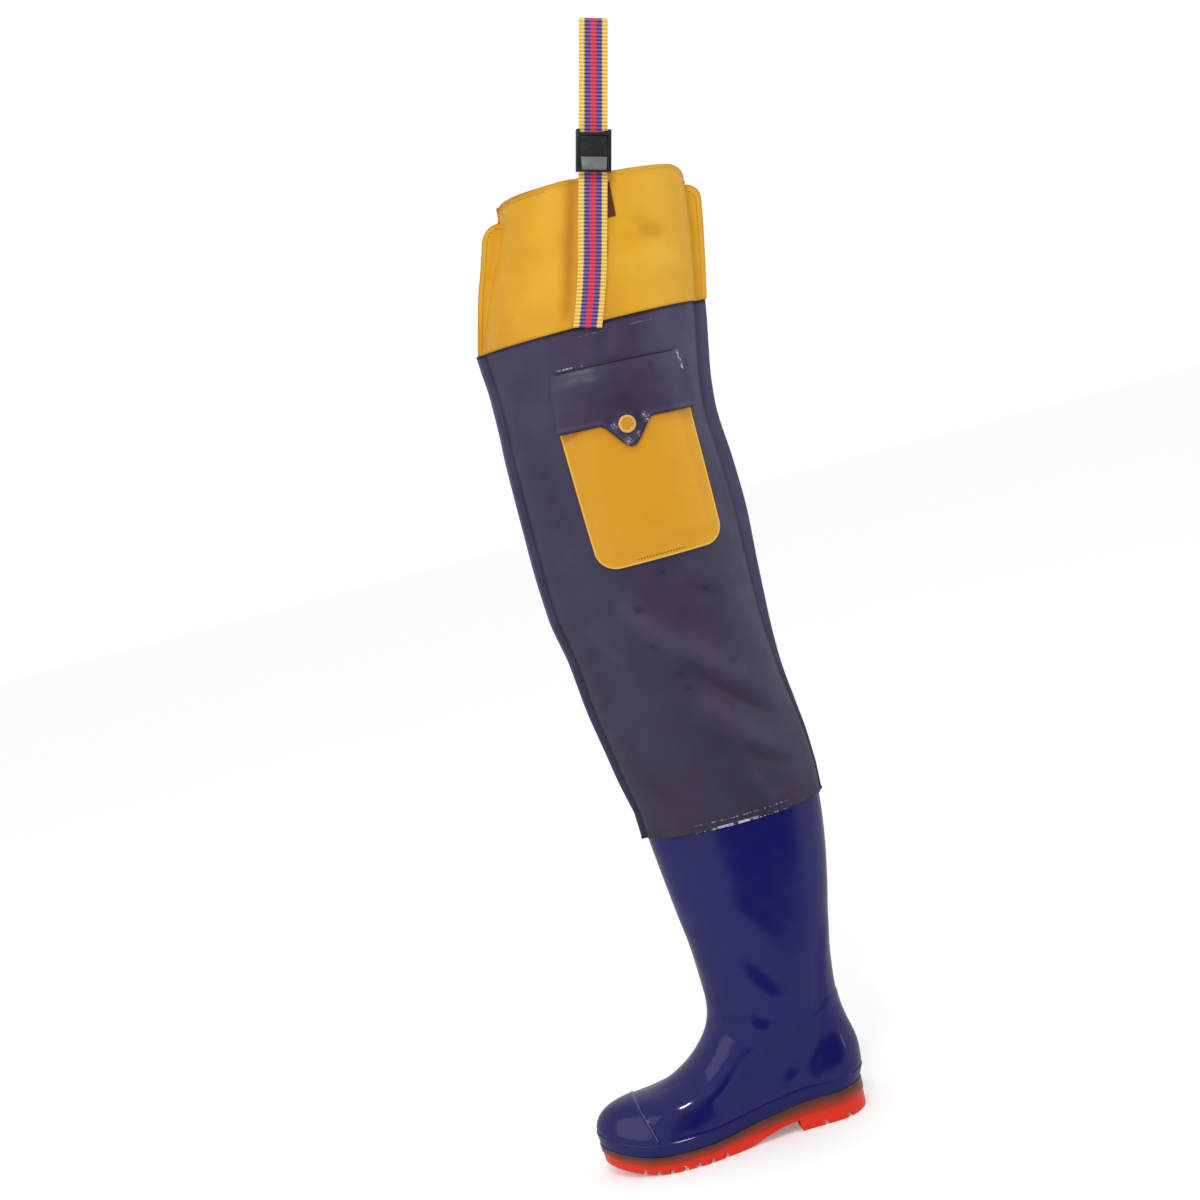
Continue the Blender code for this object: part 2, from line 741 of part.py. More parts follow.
def leg_heights():
    """Heights of the leg's rings, from its lap on the boot to its lap inside the cuff."""
    return [leg_start()] + [lerp(BOOT_TOP_HEIGHT, CUFF_BOTTOM, row.rise) for row in LIMB[:-1]]


def leg_seams(height):
    """Widths of the leg's two seam flanges at a height."""
    rise = (height - BOOT_TOP_HEIGHT) / (CUFF_BOTTOM - BOOT_TOP_HEIGHT)
    front = SEAM_FRONT * read_table(LIMB, "seam_front", rise)
    return front, SEAM_BACK * read_table(LIMB, "seam_back", rise)


def make_leg(parts):
    """The fabric leg, welded at front and back, outside the boot's top and inside the cuff."""
    def build(bm):
        outer = []
        inner = []
        seam_end = CUFF_BOTTOM - 3.0 * GAP
        for height in leg_heights() + [seam_end]:
            outline = limb_outline(height)
            outer.append(seamed_ring(outline, height, *leg_seams(height)))
            inner.append(plain_ring(grown(outline, -LEG_WALL), height))
        for height in (CUFF_BOTTOM - GAP, CUFF_BOTTOM, CUFF_BOTTOM + CUFF_LAP):
            outline = limb_outline(height)
            outer.append(plain_ring(outline, height))
            inner.append(plain_ring(grown(outline, -LEG_WALL), height))
        wall_between(bm, outer, inner)

    return object_from(build, "leg", parts)


def cuff_seams(height):
    """Widths of the cuff's two flanges, which end in round corners below its top."""
    up = (height - CUFF_BOTTOM) / (CUFF_TOP - CUFF_SEAM_DROP - CUFF_BOTTOM)
    front = lerp(CUFF_SEAM_START, CUFF_SEAM_FRONT, min(up, 1.0))
    back = lerp(SEAM_BACK, CUFF_SEAM_BACK, min(up, 1.0))
    below = CUFF_TOP - CUFF_SEAM_DROP - height
    if below < CUFF_CORNER:
        short = CUFF_CORNER - math.sqrt(CUFF_CORNER ** 2 - (CUFF_CORNER - below) ** 2)
        return max(front - short, SEAM_THICKNESS), max(back - short, SEAM_THICKNESS)
    return front, back


def settled(ring, outline):
    """A cuff ring moved down to the cuff's tilt and, near its rim, to the rim's round corners."""
    front, back, _ = outline
    height = ring[0][2]
    base = CUFF_BOTTOM + CUFF_LAP
    tilt = CUFF_TILT * max(0.0, height - base) / (CUFF_TOP - base)
    above = max(0.0, height - (CUFF_TOP - CUFF_SEAM_DROP)) / CUFF_SEAM_DROP
    moved = []
    for x, y, z in ring:
        share = max(0.0, min(1.0, (x - front) / (back - front)))
        at_front = corner_inset(share * (back - front), RIM_CORNER) / RIM_CORNER
        at_back = corner_inset((1.0 - share) * (back - front), RIM_CORNER) / RIM_CORNER
        fall = RIM_FRONT_FALL * at_front + RIM_BACK_FALL * at_back
        moved.append((x, y, z - tilt * share - above * fall))
    return moved


def make_cuff(parts):
    """The cuff outside the leg's top, with its flanges and a hem round its mouth."""
    seam_top = CUFF_TOP - CUFF_SEAM_DROP
    heights = [CUFF_BOTTOM, CUFF_BOTTOM + CUFF_LAP]
    heights += [lerp(CUFF_BOTTOM, CUFF_TOP, share) for share in CUFF_SHARES]
    heights += [seam_top - CUFF_CORNER * share for share in CORNER_SHARES]
    hem = CUFF_TOP - HEM_HEIGHT
    rims = [(seam_top + GAP, 0.0), (hem, 0.0), (hem + HEM_STEP, HEM_STEP), (CUFF_TOP, HEM_STEP)]

    def build(bm):
        outer = []
        inner = []
        for height in heights:
            cloth = grown(limb_outline(height), GAP)
            face = grown(cloth, CUFF_WALL)
            outer.append(settled(seamed_ring(face, height, *cuff_seams(height)), face))
            inner.append(settled(plain_ring(cloth, height), cloth))
        for height, step in rims:
            cloth = grown(limb_outline(height), GAP)
            face = grown(cloth, CUFF_WALL + step)
            outer.append(settled(plain_ring(face, height), face))
            inner.append(settled(plain_ring(cloth, height), cloth))
        wall_between(bm, outer, inner)

    return object_from(build, "cuff", parts)


# Pocket, flap and button

def leg_face(height):
    """The leg's outline at a height, straight between its rings as the solid's facets are."""
    heights = leg_heights() + [CUFF_BOTTOM]
    for low, high in zip(heights, heights[1:]):
        if height <= high:
            break
    share = (height - low) / (high - low)
    return [lerp(start, end, share) for start, end in zip(limb_outline(low), limb_outline(high))]


def on_side(x, z, away):
    """The point away from the leg's outer face, on its outer side, at this x and height."""
    front, back, half = leg_face(z)
    middle = (front + back) / 2.0
    reach = (back - front) / 2.0
    across = (x - middle) / reach
    depth = math.sqrt(max(0.0, 1.0 - across * across))
    normal = Vector((across / reach, -depth / half, 0.0)).normalized()
    return Vector((x, -half * depth, z)) + normal * away


def spread(left, right, share, z):
    """An x between left and right at a height, for an even share of the way round the leg."""
    front, back, _ = leg_face(z)
    middle = (front + back) / 2.0
    reach = (back - front) / 2.0
    start, end = (math.acos((x - middle) / reach) for x in (left, right))
    return middle + reach * math.cos(lerp(start, end, share))


def build_sheet(bm, cells, place, under):
    """A curved sheet over the leg: place gives x and z, under gives its back's distance."""
    columns, rows = cells
    backs = []
    fronts = []
    for j in range(rows + 1):
        back = []
        front = []
        for i in range(columns + 1):
            s, t = i / columns, j / rows
            x, z = place(s, t)
            away = under(s, t)
            back.append(on_side(x, z, away))
            front.append(on_side(x, z, away + SHEET))
        backs.append(back)
        fronts.append(front)
    back_rows = add_rings(bm, backs)
    front_rows = add_rings(bm, fronts)
    skin(bm, back_rows, closed=False)
    skin(bm, front_rows, closed=False)
    for i in (0, -1):
        skin(bm, [back_rows[i], front_rows[i]], closed=False)
        left = [row[i] for row in back_rows]
        right = [row[i] for row in front_rows]
        skin(bm, [left, right], closed=False)


def pocket_rise(t):
    """Height above the pocket's bottom edge, with rows closer together in its round corners."""
    return (POCKET_TOP - POCKET_BOTTOM) * t ** POCKET_ROW_CURVE


def pocket_place(s, t):
    """x and z on the pocket, for shares across and up. It narrows to its mouth under the flap."""
    rise = pocket_rise(t)
    z = POCKET_BOTTOM + rise
    mouth = smooth_step((z - POCKET_MOUTH_START) / (POCKET_TOP - POCKET_MOUTH_START))
    inset = corner_inset(rise, POCKET_CORNER) + POCKET_MOUTH_INSET * mouth
    left = POCKET_LEFT + POCKET_TAPER * (1.0 - t) + inset
    right = POCKET_LEFT + POCKET_WIDTH - inset
    return spread(left, right, s, z), z


def pocket_puff(s, t):
    """How far the pocket's back stands off the leg, flat along its welded edges."""
    from_edge = min(min(s, 1.0 - s) * POCKET_WIDTH, pocket_rise(t))
    return POCKET_PUFF * smooth_step((from_edge - POCKET_WELD) / PUFF_RAMP)


def make_pocket(parts):
    """The patch pocket: a puffed sheet, welded at its sides and bottom and open at its top."""
    def build(bm):
        build_sheet(bm, POCKET_CELLS, pocket_place, lambda s, t: SHEET_GAP + pocket_puff(s, t))

    return object_from(build, "pocket", parts)


def flap_place(s, t):
    """x and z on the flap, from its top edge down to the lower edge with its pointed tab."""
    slant = FLAP_SLANT * t
    x = spread(FLAP_LEFT - slant, FLAP_RIGHT - slant, s, FLAP_TOP)
    tab = smooth_step(1.0 - abs(x - TAB_X) / TAB_HALF)
    droop = FLAP_DROOP * s
    return x, lerp(FLAP_TOP - droop, FLAP_BOTTOM - droop - TAB_DROP * tab, t)


def flap_stand(t):
    """How far the flap's back stands off the leg: flat at its top weld, then over the pocket."""
    clear = SHEET_GAP + GAP + SHEET + POCKET_PUFF
    return lerp(SHEET_GAP, clear, min(1.0, t / FLAP_RISE_SHARE))


def make_flap(parts):
    """The pocket's flap, welded along its top edge and buttoned down over the pocket."""
    def build(bm):
        build_sheet(bm, FLAP_CELLS, flap_place, lambda s, t: flap_stand(t))

    return object_from(build, "pocket_flap", parts)


def make_button(parts):
    """The cap of the snap button on the flap's tab."""
    seat = on_side(BUTTON_X, BUTTON_Z, flap_stand(1.0) + SHEET + GAP)
    outward = (seat - on_side(BUTTON_X, BUTTON_Z, 0.0)).normalized()

    def build(bm):
        radius = BUTTON_DIAMETER / 2.0
        disc = bmesh.ops.create_cone(
            bm, cap_ends=True, segments=BUTTON_FACETS, radius1=radius,
            radius2=radius * BUTTON_TAPER, depth=BUTTON_THICKNESS,
        )["verts"]
        turn = outward.to_track_quat("Z", "Y").to_matrix().to_4x4()
        lift = BUTTON_THICKNESS / 2.0 + GAP
        place = Matrix.Translation(seat + outward * lift)
        bmesh.ops.transform(bm, matrix=place @ turn, verts=disc)

    return object_from(build, "snap_button", parts)


# Strap and buckle

def strap_point(along, across, away):
    """A point on the strap: height of its middle line, shift across, distance off the cuff."""
    rise = along - STRAP_BOTTOM
    bend = STRAP_BEND * max(0.0, 1.0 - rise / STRAP_BEND_LENGTH) ** 2
    x = STRAP_X + rise * math.tan(STRAP_LEAN) - bend + across * math.cos(STRAP_LEAN)
    z = along - across * math.sin(STRAP_LEAN)
    level = min(z + CUFF_TILT / 2.0, CUFF_TOP)
    front, back, half = grown(limb_outline(level), GAP + CUFF_WALL + HEM_STEP)
    middle = (front + back) / 2.0
    reach = (back - front) / 2.0
    share = max(-1.0, min(1.0, (x - middle) / reach))
    free = max(0.0, min(1.0, (z - CUFF_TOP) / HEM_HEIGHT))
    flat = lerp(math.sqrt(1.0 - share * share), 1.0, free)
    return Vector((x, -half * flat - away, z))


def build_strap(bm, start, end):
    """A ribbon of webbing between two heights of its middle line."""
    lines = max(2, round((end - start) / STRAP_ROW))
    rings = []
    for i in range(lines + 1):
        along = lerp(start, end, i / lines)
        places = [STRAP_WIDTH * share for share in STRAP_COLUMNS]
        near = [strap_point(along, across, GAP) for across in places]
        far = [strap_point(along, across, GAP + STRAP_THICKNESS) for across in reversed(places)]
        rings.append(near + far)
    made = add_rings(bm, rings)
    skin(bm, made)
    for ring in (made[0], made[-1]):
        last = len(ring) - 1
        for i in range(len(STRAP_COLUMNS) - 1):
            bm.faces.new((ring[i], ring[i + 1], ring[last - i - 1], ring[last - i]))


def buckle_frame_axes():
    """Places the buckle: its X across the strap, its Y to the outer side, its Z along the strap."""
    middle = strap_point(BUCKLE_Z, 0.0, GAP)
    along = Vector((math.sin(STRAP_LEAN), 0.0, math.cos(STRAP_LEAN)))
    outward = Vector((0.0, -1.0, 0.0))
    across = outward.cross(along)
    turn = Matrix((across, outward, along)).transposed().to_4x4()
    return Matrix.Translation(middle) @ turn


def add_block(bm, width, depth, height, centre):
    """A box with its middle at centre, in the buckle's own axes."""
    made = bmesh.ops.create_cube(bm, size=1.0)["verts"]
    bmesh.ops.transform(bm, matrix=Matrix.Diagonal((width, depth, height, 1.0)), verts=made)
    bmesh.ops.translate(bm, verts=made, vec=centre)
    return made


def window_size():
    """Width and height of the window in the buckle's face, where the lever lies."""
    return STRAP_WIDTH - WINDOW_INSET, BUCKLE_HEIGHT - 2.0 * BUCKLE_BAR


def make_buckle(parts, cutters):
    """The buckle's frame with its strap channel and window, and the lever that lies in it."""
    place = buckle_frame_axes()
    channel_depth = STRAP_THICKNESS + 2.0 * GAP
    window_width, window_height = window_size()

    def build_body(bm):
        width = STRAP_WIDTH + 2.0 * GAP + 2.0 * BUCKLE_SIDE
        add_block(bm, width, BUCKLE_DEPTH, BUCKLE_HEIGHT, (0.0, BUCKLE_DEPTH / 2.0, 0.0))
        bmesh.ops.bevel(
            bm, geom=bm.edges[:], offset=EDGE_ROUND, segments=2, profile=0.5,
            affect="EDGES", material=-1,
        )
        bmesh.ops.transform(bm, matrix=place, verts=bm.verts[:])

    def build_channel(bm):
        width = STRAP_WIDTH + 2.0 * GAP
        add_block(bm, width, 2.0 * channel_depth, 2.0 * BUCKLE_HEIGHT, (0.0, 0.0, 0.0))
        bmesh.ops.transform(bm, matrix=place, verts=bm.verts[:])

    def build_window(bm):
        add_block(bm, window_width, 4.0 * BUCKLE_DEPTH, window_height, (0.0, 0.0, 0.0))
        bmesh.ops.transform(bm, matrix=place, verts=bm.verts[:])

    def build_notch(bm):
        centre = (0.0, 0.0, BUCKLE_HEIGHT / 2.0)
        add_block(bm, window_width, 4.0 * BUCKLE_DEPTH, 2.0 * EAR_HEIGHT, centre)
        bmesh.ops.transform(bm, matrix=place, verts=bm.verts[:])

    frame = object_from(build_body, "buckle_frame", parts)
    channel = object_from(build_channel, "strap channel", cutters, smooth=False)
    window = object_from(build_window, "lever window", cutters, smooth=False)
    notch = object_from(build_notch, "top notch", cutters, smooth=False)
    cut(frame, channel, "DIFFERENCE")
    cut(frame, window, "DIFFERENCE")
    cut(frame, notch, "DIFFERENCE")

    def build_lever(bm):
        middle = (0.0, channel_depth + LEVER_THICKNESS / 2.0, 0.0)
        width = window_width - 2.0 * GAP
        add_block(bm, width, LEVER_THICKNESS, window_height - 2.0 * GAP, middle)
        bmesh.ops.bevel(
            bm, geom=bm.edges[:], offset=EDGE_ROUND / 2.0, segments=1, profile=0.5,
            affect="EDGES", material=-1,
        )
        bmesh.ops.transform(bm, matrix=place, verts=bm.verts[:])

    def build_lip(bm):
        add_block(bm, LIP_WIDTH, LIP_THICKNESS, LIP_HEIGHT, (0.0, 0.0, 0.0))
        bmesh.ops.bevel(
            bm, geom=bm.edges[:], offset=EDGE_ROUND, segments=2, profile=0.5,
            affect="EDGES", material=-1,
        )
        turn = Matrix.Rotation(LIP_ANGLE, 4, "X")
        above_bar = LIP_HEIGHT * LIP_SEAT
        inner = BUCKLE_DEPTH + 2.0 * GAP - above_bar * math.tan(LIP_ANGLE)
        middle = inner + LIP_THICKNESS / 2.0 / math.cos(LIP_ANGLE)
        seat = Matrix.Translation((0.0, middle, above_bar - window_height / 2.0))
        bmesh.ops.transform(bm, matrix=place @ seat @ turn, verts=bm.verts[:])

    lever = object_from(build_lever, "buckle_lever", parts)
    lip = object_from(build_lip, "lever lip", cutters)
    cut(lever, lip, "UNION")
    return frame, lever


def make_straps(parts):
    """The two lengths of webbing, which meet behind the buckle's lever."""
    pieces = []
    spans = (
        ("strap_lower", STRAP_BOTTOM, BUCKLE_Z - GAP),
        ("strap_upper", BUCKLE_Z + GAP, STRAP_TOP),
    )
    for name, start, end in spans:
        def build(bm, start=start, end=end):
            build_strap(bm, start, end)
        pieces.append(object_from(build, name, parts))
    return pieces


def main():
    """Clears the scene and builds the wader."""
    for old in list(bpy.data.objects):
        bpy.data.objects.remove(old, do_unlink=True)
    parts = make_collection("hip wader")
    cutters = make_collection("cutters", hidden=True)
    make_outsole(parts, cutters)
    make_insole(parts)
    make_boot(parts)
    make_leg(parts)
    make_cuff(parts)
    make_pocket(parts)
    make_flap(parts)
    make_button(parts)
    make_straps(parts)
    make_buckle(parts, cutters)


main()
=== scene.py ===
"""The looks of the left hip wader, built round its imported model.

The toe points to -X, the outer side faces -Y, and the ground is z = 0. Lengths are in metres.
"""

import math
from collections import namedtuple

import bmesh
import bpy
from mathutils import Matrix, Vector


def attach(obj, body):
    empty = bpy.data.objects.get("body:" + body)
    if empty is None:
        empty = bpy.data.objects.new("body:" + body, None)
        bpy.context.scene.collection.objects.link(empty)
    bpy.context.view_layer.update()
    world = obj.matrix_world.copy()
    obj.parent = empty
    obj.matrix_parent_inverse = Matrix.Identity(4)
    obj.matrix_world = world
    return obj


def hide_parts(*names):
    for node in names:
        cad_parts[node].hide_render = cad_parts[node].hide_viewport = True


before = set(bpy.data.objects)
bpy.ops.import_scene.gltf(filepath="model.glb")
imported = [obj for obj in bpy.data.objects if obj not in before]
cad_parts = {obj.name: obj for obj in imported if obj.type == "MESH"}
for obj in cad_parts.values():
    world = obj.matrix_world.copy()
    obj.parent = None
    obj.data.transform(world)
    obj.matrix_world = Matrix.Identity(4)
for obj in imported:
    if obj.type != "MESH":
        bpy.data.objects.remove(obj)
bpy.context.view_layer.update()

# Clearance between neighbouring pieces, and the length of a cell of the boot's mesh
GAP = 0.0003
CELL = 0.0026

# Rounded edges: the angle from which an edge counts as sharp, and the widths of the roundings
SHARP_ANGLE = 50.0
SHEET_ROUND = 0.0004
MOULDED_ROUND = 0.0005

# Outsole
SOLE_LENGTH = 0.280
HEEL_SETBACK = 0.039
BALL_WIDTH = 0.104
HEEL_SOLE_HEIGHT = 0.031
SOLE_LEDGE = 0.0018
SOLE_EDGE_STEP = 0.0013
TOE_SPRING = 0.013
TOE_SPRING_START = 0.76
HEEL_SEAT_LENGTH = 0.076
ARCH_RISE = 0.012
ARCH_LENGTH = 0.058
ARCH_FACETS = 24
ARCH_CURVE = 1.2
LUG_DEPTH = 0.0045
CHANNEL_WIDTH = 0.0060
CHANNEL_TAPER = 0.6
HEEL_CHANNELS = 2
FOREFOOT_CHANNELS = 7
FOREFOOT_PITCH = 0.0145
CHEVRON_ANGLE = math.radians(14.0)
SOLE_COLUMNS = 200

# Boot upper
BOOT_WALL = 0.0024
THROAT_HEIGHT = 0.150
THROAT_FRONT = 0.098
THROAT_BACK = 0.041
ANKLE_HALF_WIDTH = 0.047
BOOT_TOP_HEIGHT = 0.358
BOOT_TOP_FRONT = 0.1145
BOOT_TOP_BACK = 0.0705
BOOT_TOP_HALF_WIDTH = 0.057
THROAT_TILT = 0.021
TILT_END = 0.42
TILT_CURVE = 1.5
RELIEF = 0.0010
RAND_HEIGHT = 0.012
TOE_CAP_LENGTH = 0.058
TOE_CAP_SLANT = math.radians(16.0)
CAP_BEAD = 0.0009
CAP_BEAD_SETBACK = 0.0008
CAP_BEAD_WIDTH = 0.0011
CAP_STEP_WIDTH = 0.0014
# Half width of the painted highlight along the toe cap's ridge
CAP_HIGHLIGHT_HALF = 0.0005
CAP_CUTS = (0.0022, 0.0012, 0.0006, 0.0, -0.0006, -0.0012, -0.0020, -0.0030)
COUNTER_HEIGHT = 0.128
COUNTER_LENGTH = 0.060
COUNTER_SLANT = math.radians(21.0)
COUNTER_RAMP = 0.005
BOOT_COLUMNS = 176
EASED_HEIGHT = 0.200
EASED_ROUNDS = 36
WAIST_X = -0.064
WAIST_Z = 0.084
WAIST_SQUASH = 1.15
WAIST_REACHES = (0.062, 0.054, 0.046, 0.038)
WAIST_ROUNDS = 16
LOOSE_ABOVE = 0.004
LOOSE_ROUNDS = 5

# Insole
INSOLE_THICKNESS = 0.0040
INSOLE_PLAY = 0.0024
INSOLE_EDGE = 0.0008

# Fabric leg
LEG_WALL = 0.0011
BOOT_LAP = 0.028
LEG_BOTTOM = BOOT_TOP_HEIGHT - BOOT_LAP
LEG_HALF_DEPTH_GAIN = 0.021
FRONT_GAIN = 0.0345
BACK_HOLLOW = 0.017
BACK_TAPER = 0.0045
SEAM_THICKNESS = 0.0024
SEAM_FRONT = 0.0080
SEAM_BACK = 0.0130
SEAM_FADE = 0.016
FOLD_FADE = 0.020
LEG_PITCH = 0.0031
LEG_COLUMNS = 168
FLANGE_SHAPE = [
    (0.0, 1.0), (0.08, 0.80), (0.18, 0.72), (0.40, 0.80), (0.62, 0.95), (0.84, 0.92), (1.0, 0.5),
]
GLUE_BEAD = 0.0010
GLUE_HEIGHT = 0.0030
GLUE_MIDDLE = 0.0014
GLUE_WIDTH = 0.0012

# Cuff
CUFF_WALL = 0.0015
CUFF_BOTTOM = 0.845
CUFF_TOP = 0.985
CUFF_LAP = 0.024
CUFF_FRONT_LEAN = 0.0530
CUFF_BACK_LEAN = 0.0185
CUFF_DEPTH_GAIN = 0.0070
CUFF_SEAM_START = 0.0045
CUFF_SEAM_FRONT = 0.0210
CUFF_SEAM_BACK = 0.0170
CUFF_SEAM_DROP = 0.0175
CUFF_CORNER = 0.0180
CUFF_CORNER_ROWS = 14
CUFF_PITCH = 0.0026
CUFF_TILT = 0.0080
RIM_CORNER = 0.0220
RIM_FRONT_FALL = 0.0030
RIM_BACK_FALL = 0.0140
HEM_HEIGHT = 0.0090
HEM_STEP = 0.0006
HEM_LINE = 0.0042
# Painted shadow in the pleat beside the strap: bottom and top heights, its right edge's x at each,
# and its left limit
PLEAT_SHADOW_LOW = 0.9380
PLEAT_SHADOW_HIGH = 0.9712
PLEAT_SHADOW_LOW_X = 0.0010
PLEAT_SHADOW_HIGH_X = 0.0028
PLEAT_SHADOW_LIMIT = -0.0160
WELD_WIDTH = 0.0008
WELD_PITCH = 0.0026

# Pocket, flap and snap button
SHEET = 0.0012
SHEET_GAP = 0.0005
POCKET_LEFT = -0.1040
POCKET_WIDTH = 0.1350
POCKET_BOTTOM = 0.608
POCKET_TOP = 0.778
POCKET_TAPER = 0.0060
POCKET_CORNER = 0.020
POCKET_PUFF = 0.0034
POCKET_WELD = 0.007
PUFF_RAMP = 0.0175
POCKET_ROW_CURVE = 1.5
POCKET_MOUTH_INSET = 0.0080
POCKET_MOUTH_START = 0.744
POCKET_CELLS = (60, 76)
POCKET_SWAY = 0.0005
FLAP_LEFT = -0.0975
FLAP_RIGHT = 0.0335
FLAP_SLANT = 0.0045
FLAP_TOP = 0.808
FLAP_BOTTOM = 0.748
FLAP_DROOP = 0.0050
FLAP_FALL = FLAP_DROOP / (FLAP_RIGHT - FLAP_LEFT)
FLAP_RISE_SHARE = 0.33
FLAP_PULL = 0.0009
FLAP_PULL_RADIUS = 0.016
FLAP_WAVE = 0.0008
FLAP_CORNER_LIFT = 0.0016
FLAP_BEAD = 0.0006
FLAP_WELD = 0.0003
FLAP_CELLS = (90, 34)
TAB_X = -0.0385
TAB_DROP = 0.025
TAB_HALF = 0.027
BUTTON_DIAMETER = 0.0175
BUTTON_THICKNESS = 0.0030
BUTTON_X = -0.0393
BUTTON_Z = 0.7432
# The button's section, in shares of its radius and its thickness
BUTTON_PROFILE = [
    (0.0, 0.0), (0.90, 0.0), (0.97, 0.10), (1.0, 0.30), (0.99, 0.55), (0.94, 0.80),
    (0.86, 0.95), (0.77, 1.0), (0.68, 0.93), (0.62, 0.80), (0.52, 0.74), (0.30, 0.80), (0.0, 0.84),
]

# Belt strap and its buckle
STRAP_WIDTH = 0.0275
STRAP_THICKNESS = 0.0016
STRAP_LEAN = math.radians(14.7)
STRAP_X = -0.0477
STRAP_BOTTOM = 0.842
STRAP_TOP = 1.123
STRAP_BEND = 0.0045
STRAP_BEND_LENGTH = 0.070
RIB_PITCH = 0.0035
RIB_HEIGHT = 0.00025
RIB_ROWS = 5
WEB_SHARES = (0.0, 0.20, 0.40, 0.58, 0.72, 0.86, 0.97, 1.0)
WEB_EDGE_START = 0.9
WEB_EDGE_ROUND = 0.42
RIB_BULGE = 0.6
RIB_SINK = 0.2
BUCKLE_Z = 1.002
BUCKLE_HEIGHT = 0.040
BUCKLE_SIDE = 0.0028
BUCKLE_DEPTH = 0.0080
BUCKLE_BAR = 0.0060
WINDOW_INSET = 0.0008
EAR_HEIGHT = 0.0032
LEVER_THICKNESS = 0.0050
LIP_THICKNESS = 0.0030
LIP_WIDTH = 0.0255
LIP_HEIGHT = 0.013
LIP_ANGLE = math.radians(16.0)
LIP_SEAT = 0.10
LIP_TAPER = 0.91
LIP_ROUND = 0.0011
LEVER_CROWN = 0.0009
EDGE_ROUND = 0.0008

Plan = namedtuple("Plan", "along centre half")
PLAN = [
    Plan(0.00, 0.000, 0.350),
    Plan(0.13, 0.000, 0.362),
    Plan(0.27, -0.018, 0.338),
    Plan(0.42, -0.042, 0.328),
    Plan(0.55, -0.032, 0.412),
    Plan(0.66, -0.004, 0.490),
    Plan(0.74, 0.020, 0.500),
    Plan(0.84, 0.048, 0.488),
    Plan(0.93, 0.068, 0.455),
    Plan(1.00, 0.080, 0.430),
]
HEEL_ROUND = 0.130
TOE_ROUND = 0.250

Thickness = namedtuple("Thickness", "along share")
THICKNESS = [
    Thickness(0.00, 1.000),
    Thickness(0.22, 0.970),
    Thickness(0.42, 0.780),
    Thickness(0.58, 0.640),
    Thickness(0.80, 0.620),
    Thickness(1.00, 0.640),
]

# Sole sides from the ground up, with rounded edges: share of the thickness, inset in edge steps
SoleStep = namedtuple("SoleStep", "rise inset")
SOLE_STEPS = [
    SoleStep(0.000, 2.60),
    SoleStep(0.012, 1.90),
    SoleStep(0.040, 1.45),
    SoleStep(0.080, 1.25),
    SoleStep(0.320, 1.10),
    SoleStep(0.545, 1.00),
    SoleStep(0.565, 0.92),
    SoleStep(0.590, 0.30),
    SoleStep(0.615, 0.05),
    SoleStep(0.650, 0.00),
    SoleStep(0.800, 0.00),
    SoleStep(0.920, 0.02),
    SoleStep(0.970, 0.08),
    SoleStep(0.992, 0.20),
    SoleStep(1.000, 0.42),
]

# The rand's profile: height as a share of the rand's, and how far it stands out in reliefs
RandStep = namedtuple("RandStep", "rise out")
RAND_STEPS = [
    RandStep(0.00, 0.85),
    RandStep(0.06, 1.00),
    RandStep(0.16, 1.10),
    RandStep(0.32, 1.25),
    RandStep(0.52, 1.30),
    RandStep(0.72, 1.25),
    RandStep(0.86, 1.45),
    RandStep(0.94, 1.50),
    RandStep(1.00, 1.32),
    RandStep(1.05, 0.75),
    RandStep(1.09, 0.22),
]

Ring = namedtuple("Ring", "front rise back heel_rise half foot crown follow")
FOOT_RINGS = [
    Ring(1.006, 0.300, 1.13, 0.290, 0.503, 1.00, 0.00, 0.00),
    Ring(0.994, 0.356, 1.17, 0.372, 0.498, 1.00, 0.01, 0.75),
    Ring(0.940, 0.418, 1.18, 0.442, 0.478, 1.00, 0.02, 0.50),
    Ring(0.855, 0.458, 1.15, 0.505, 0.452, 0.95, 0.04, 0.25),
    Ring(0.735, 0.480, 1.10, 0.565, 0.432, 0.85, 0.06, 0.00),
    Ring(0.605, 0.490, 1.05, 0.622, 0.422, 0.70, 0.07, 0.00),
    Ring(0.478, 0.510, 1.01, 0.680, 0.420, 0.54, 0.07, 0.00),
    Ring(0.358, 0.552, 0.98, 0.742, 0.424, 0.40, 0.06, 0.00),
    Ring(0.248, 0.612, 0.97, 0.806, 0.430, 0.27, 0.05, 0.00),
    Ring(0.152, 0.688, 0.98, 0.872, 0.436, 0.16, 0.03, 0.00),
    Ring(0.074, 0.778, 1.00, 0.940, 0.442, 0.08, 0.01, 0.00),
    Ring(0.022, 0.880, 1.03, 1.015, 0.448, 0.03, 0.00, 0.00),
]

Shaft = namedtuple("Shaft", "rise front back half")
SHAFT_RINGS = [
    Shaft(0.00, 0.00, 0.00, 0.00),
    Shaft(0.11, 0.02, 0.10, 0.14),
    Shaft(0.26, 0.10, 0.26, 0.32),
    Shaft(0.46, 0.40, 0.54, 0.58),
    Shaft(0.68, 0.70, 0.82, 0.82),
    Shaft(0.865, 0.92, 0.96, 0.96),
    Shaft(1.00, 1.00, 1.00, 1.00),
]

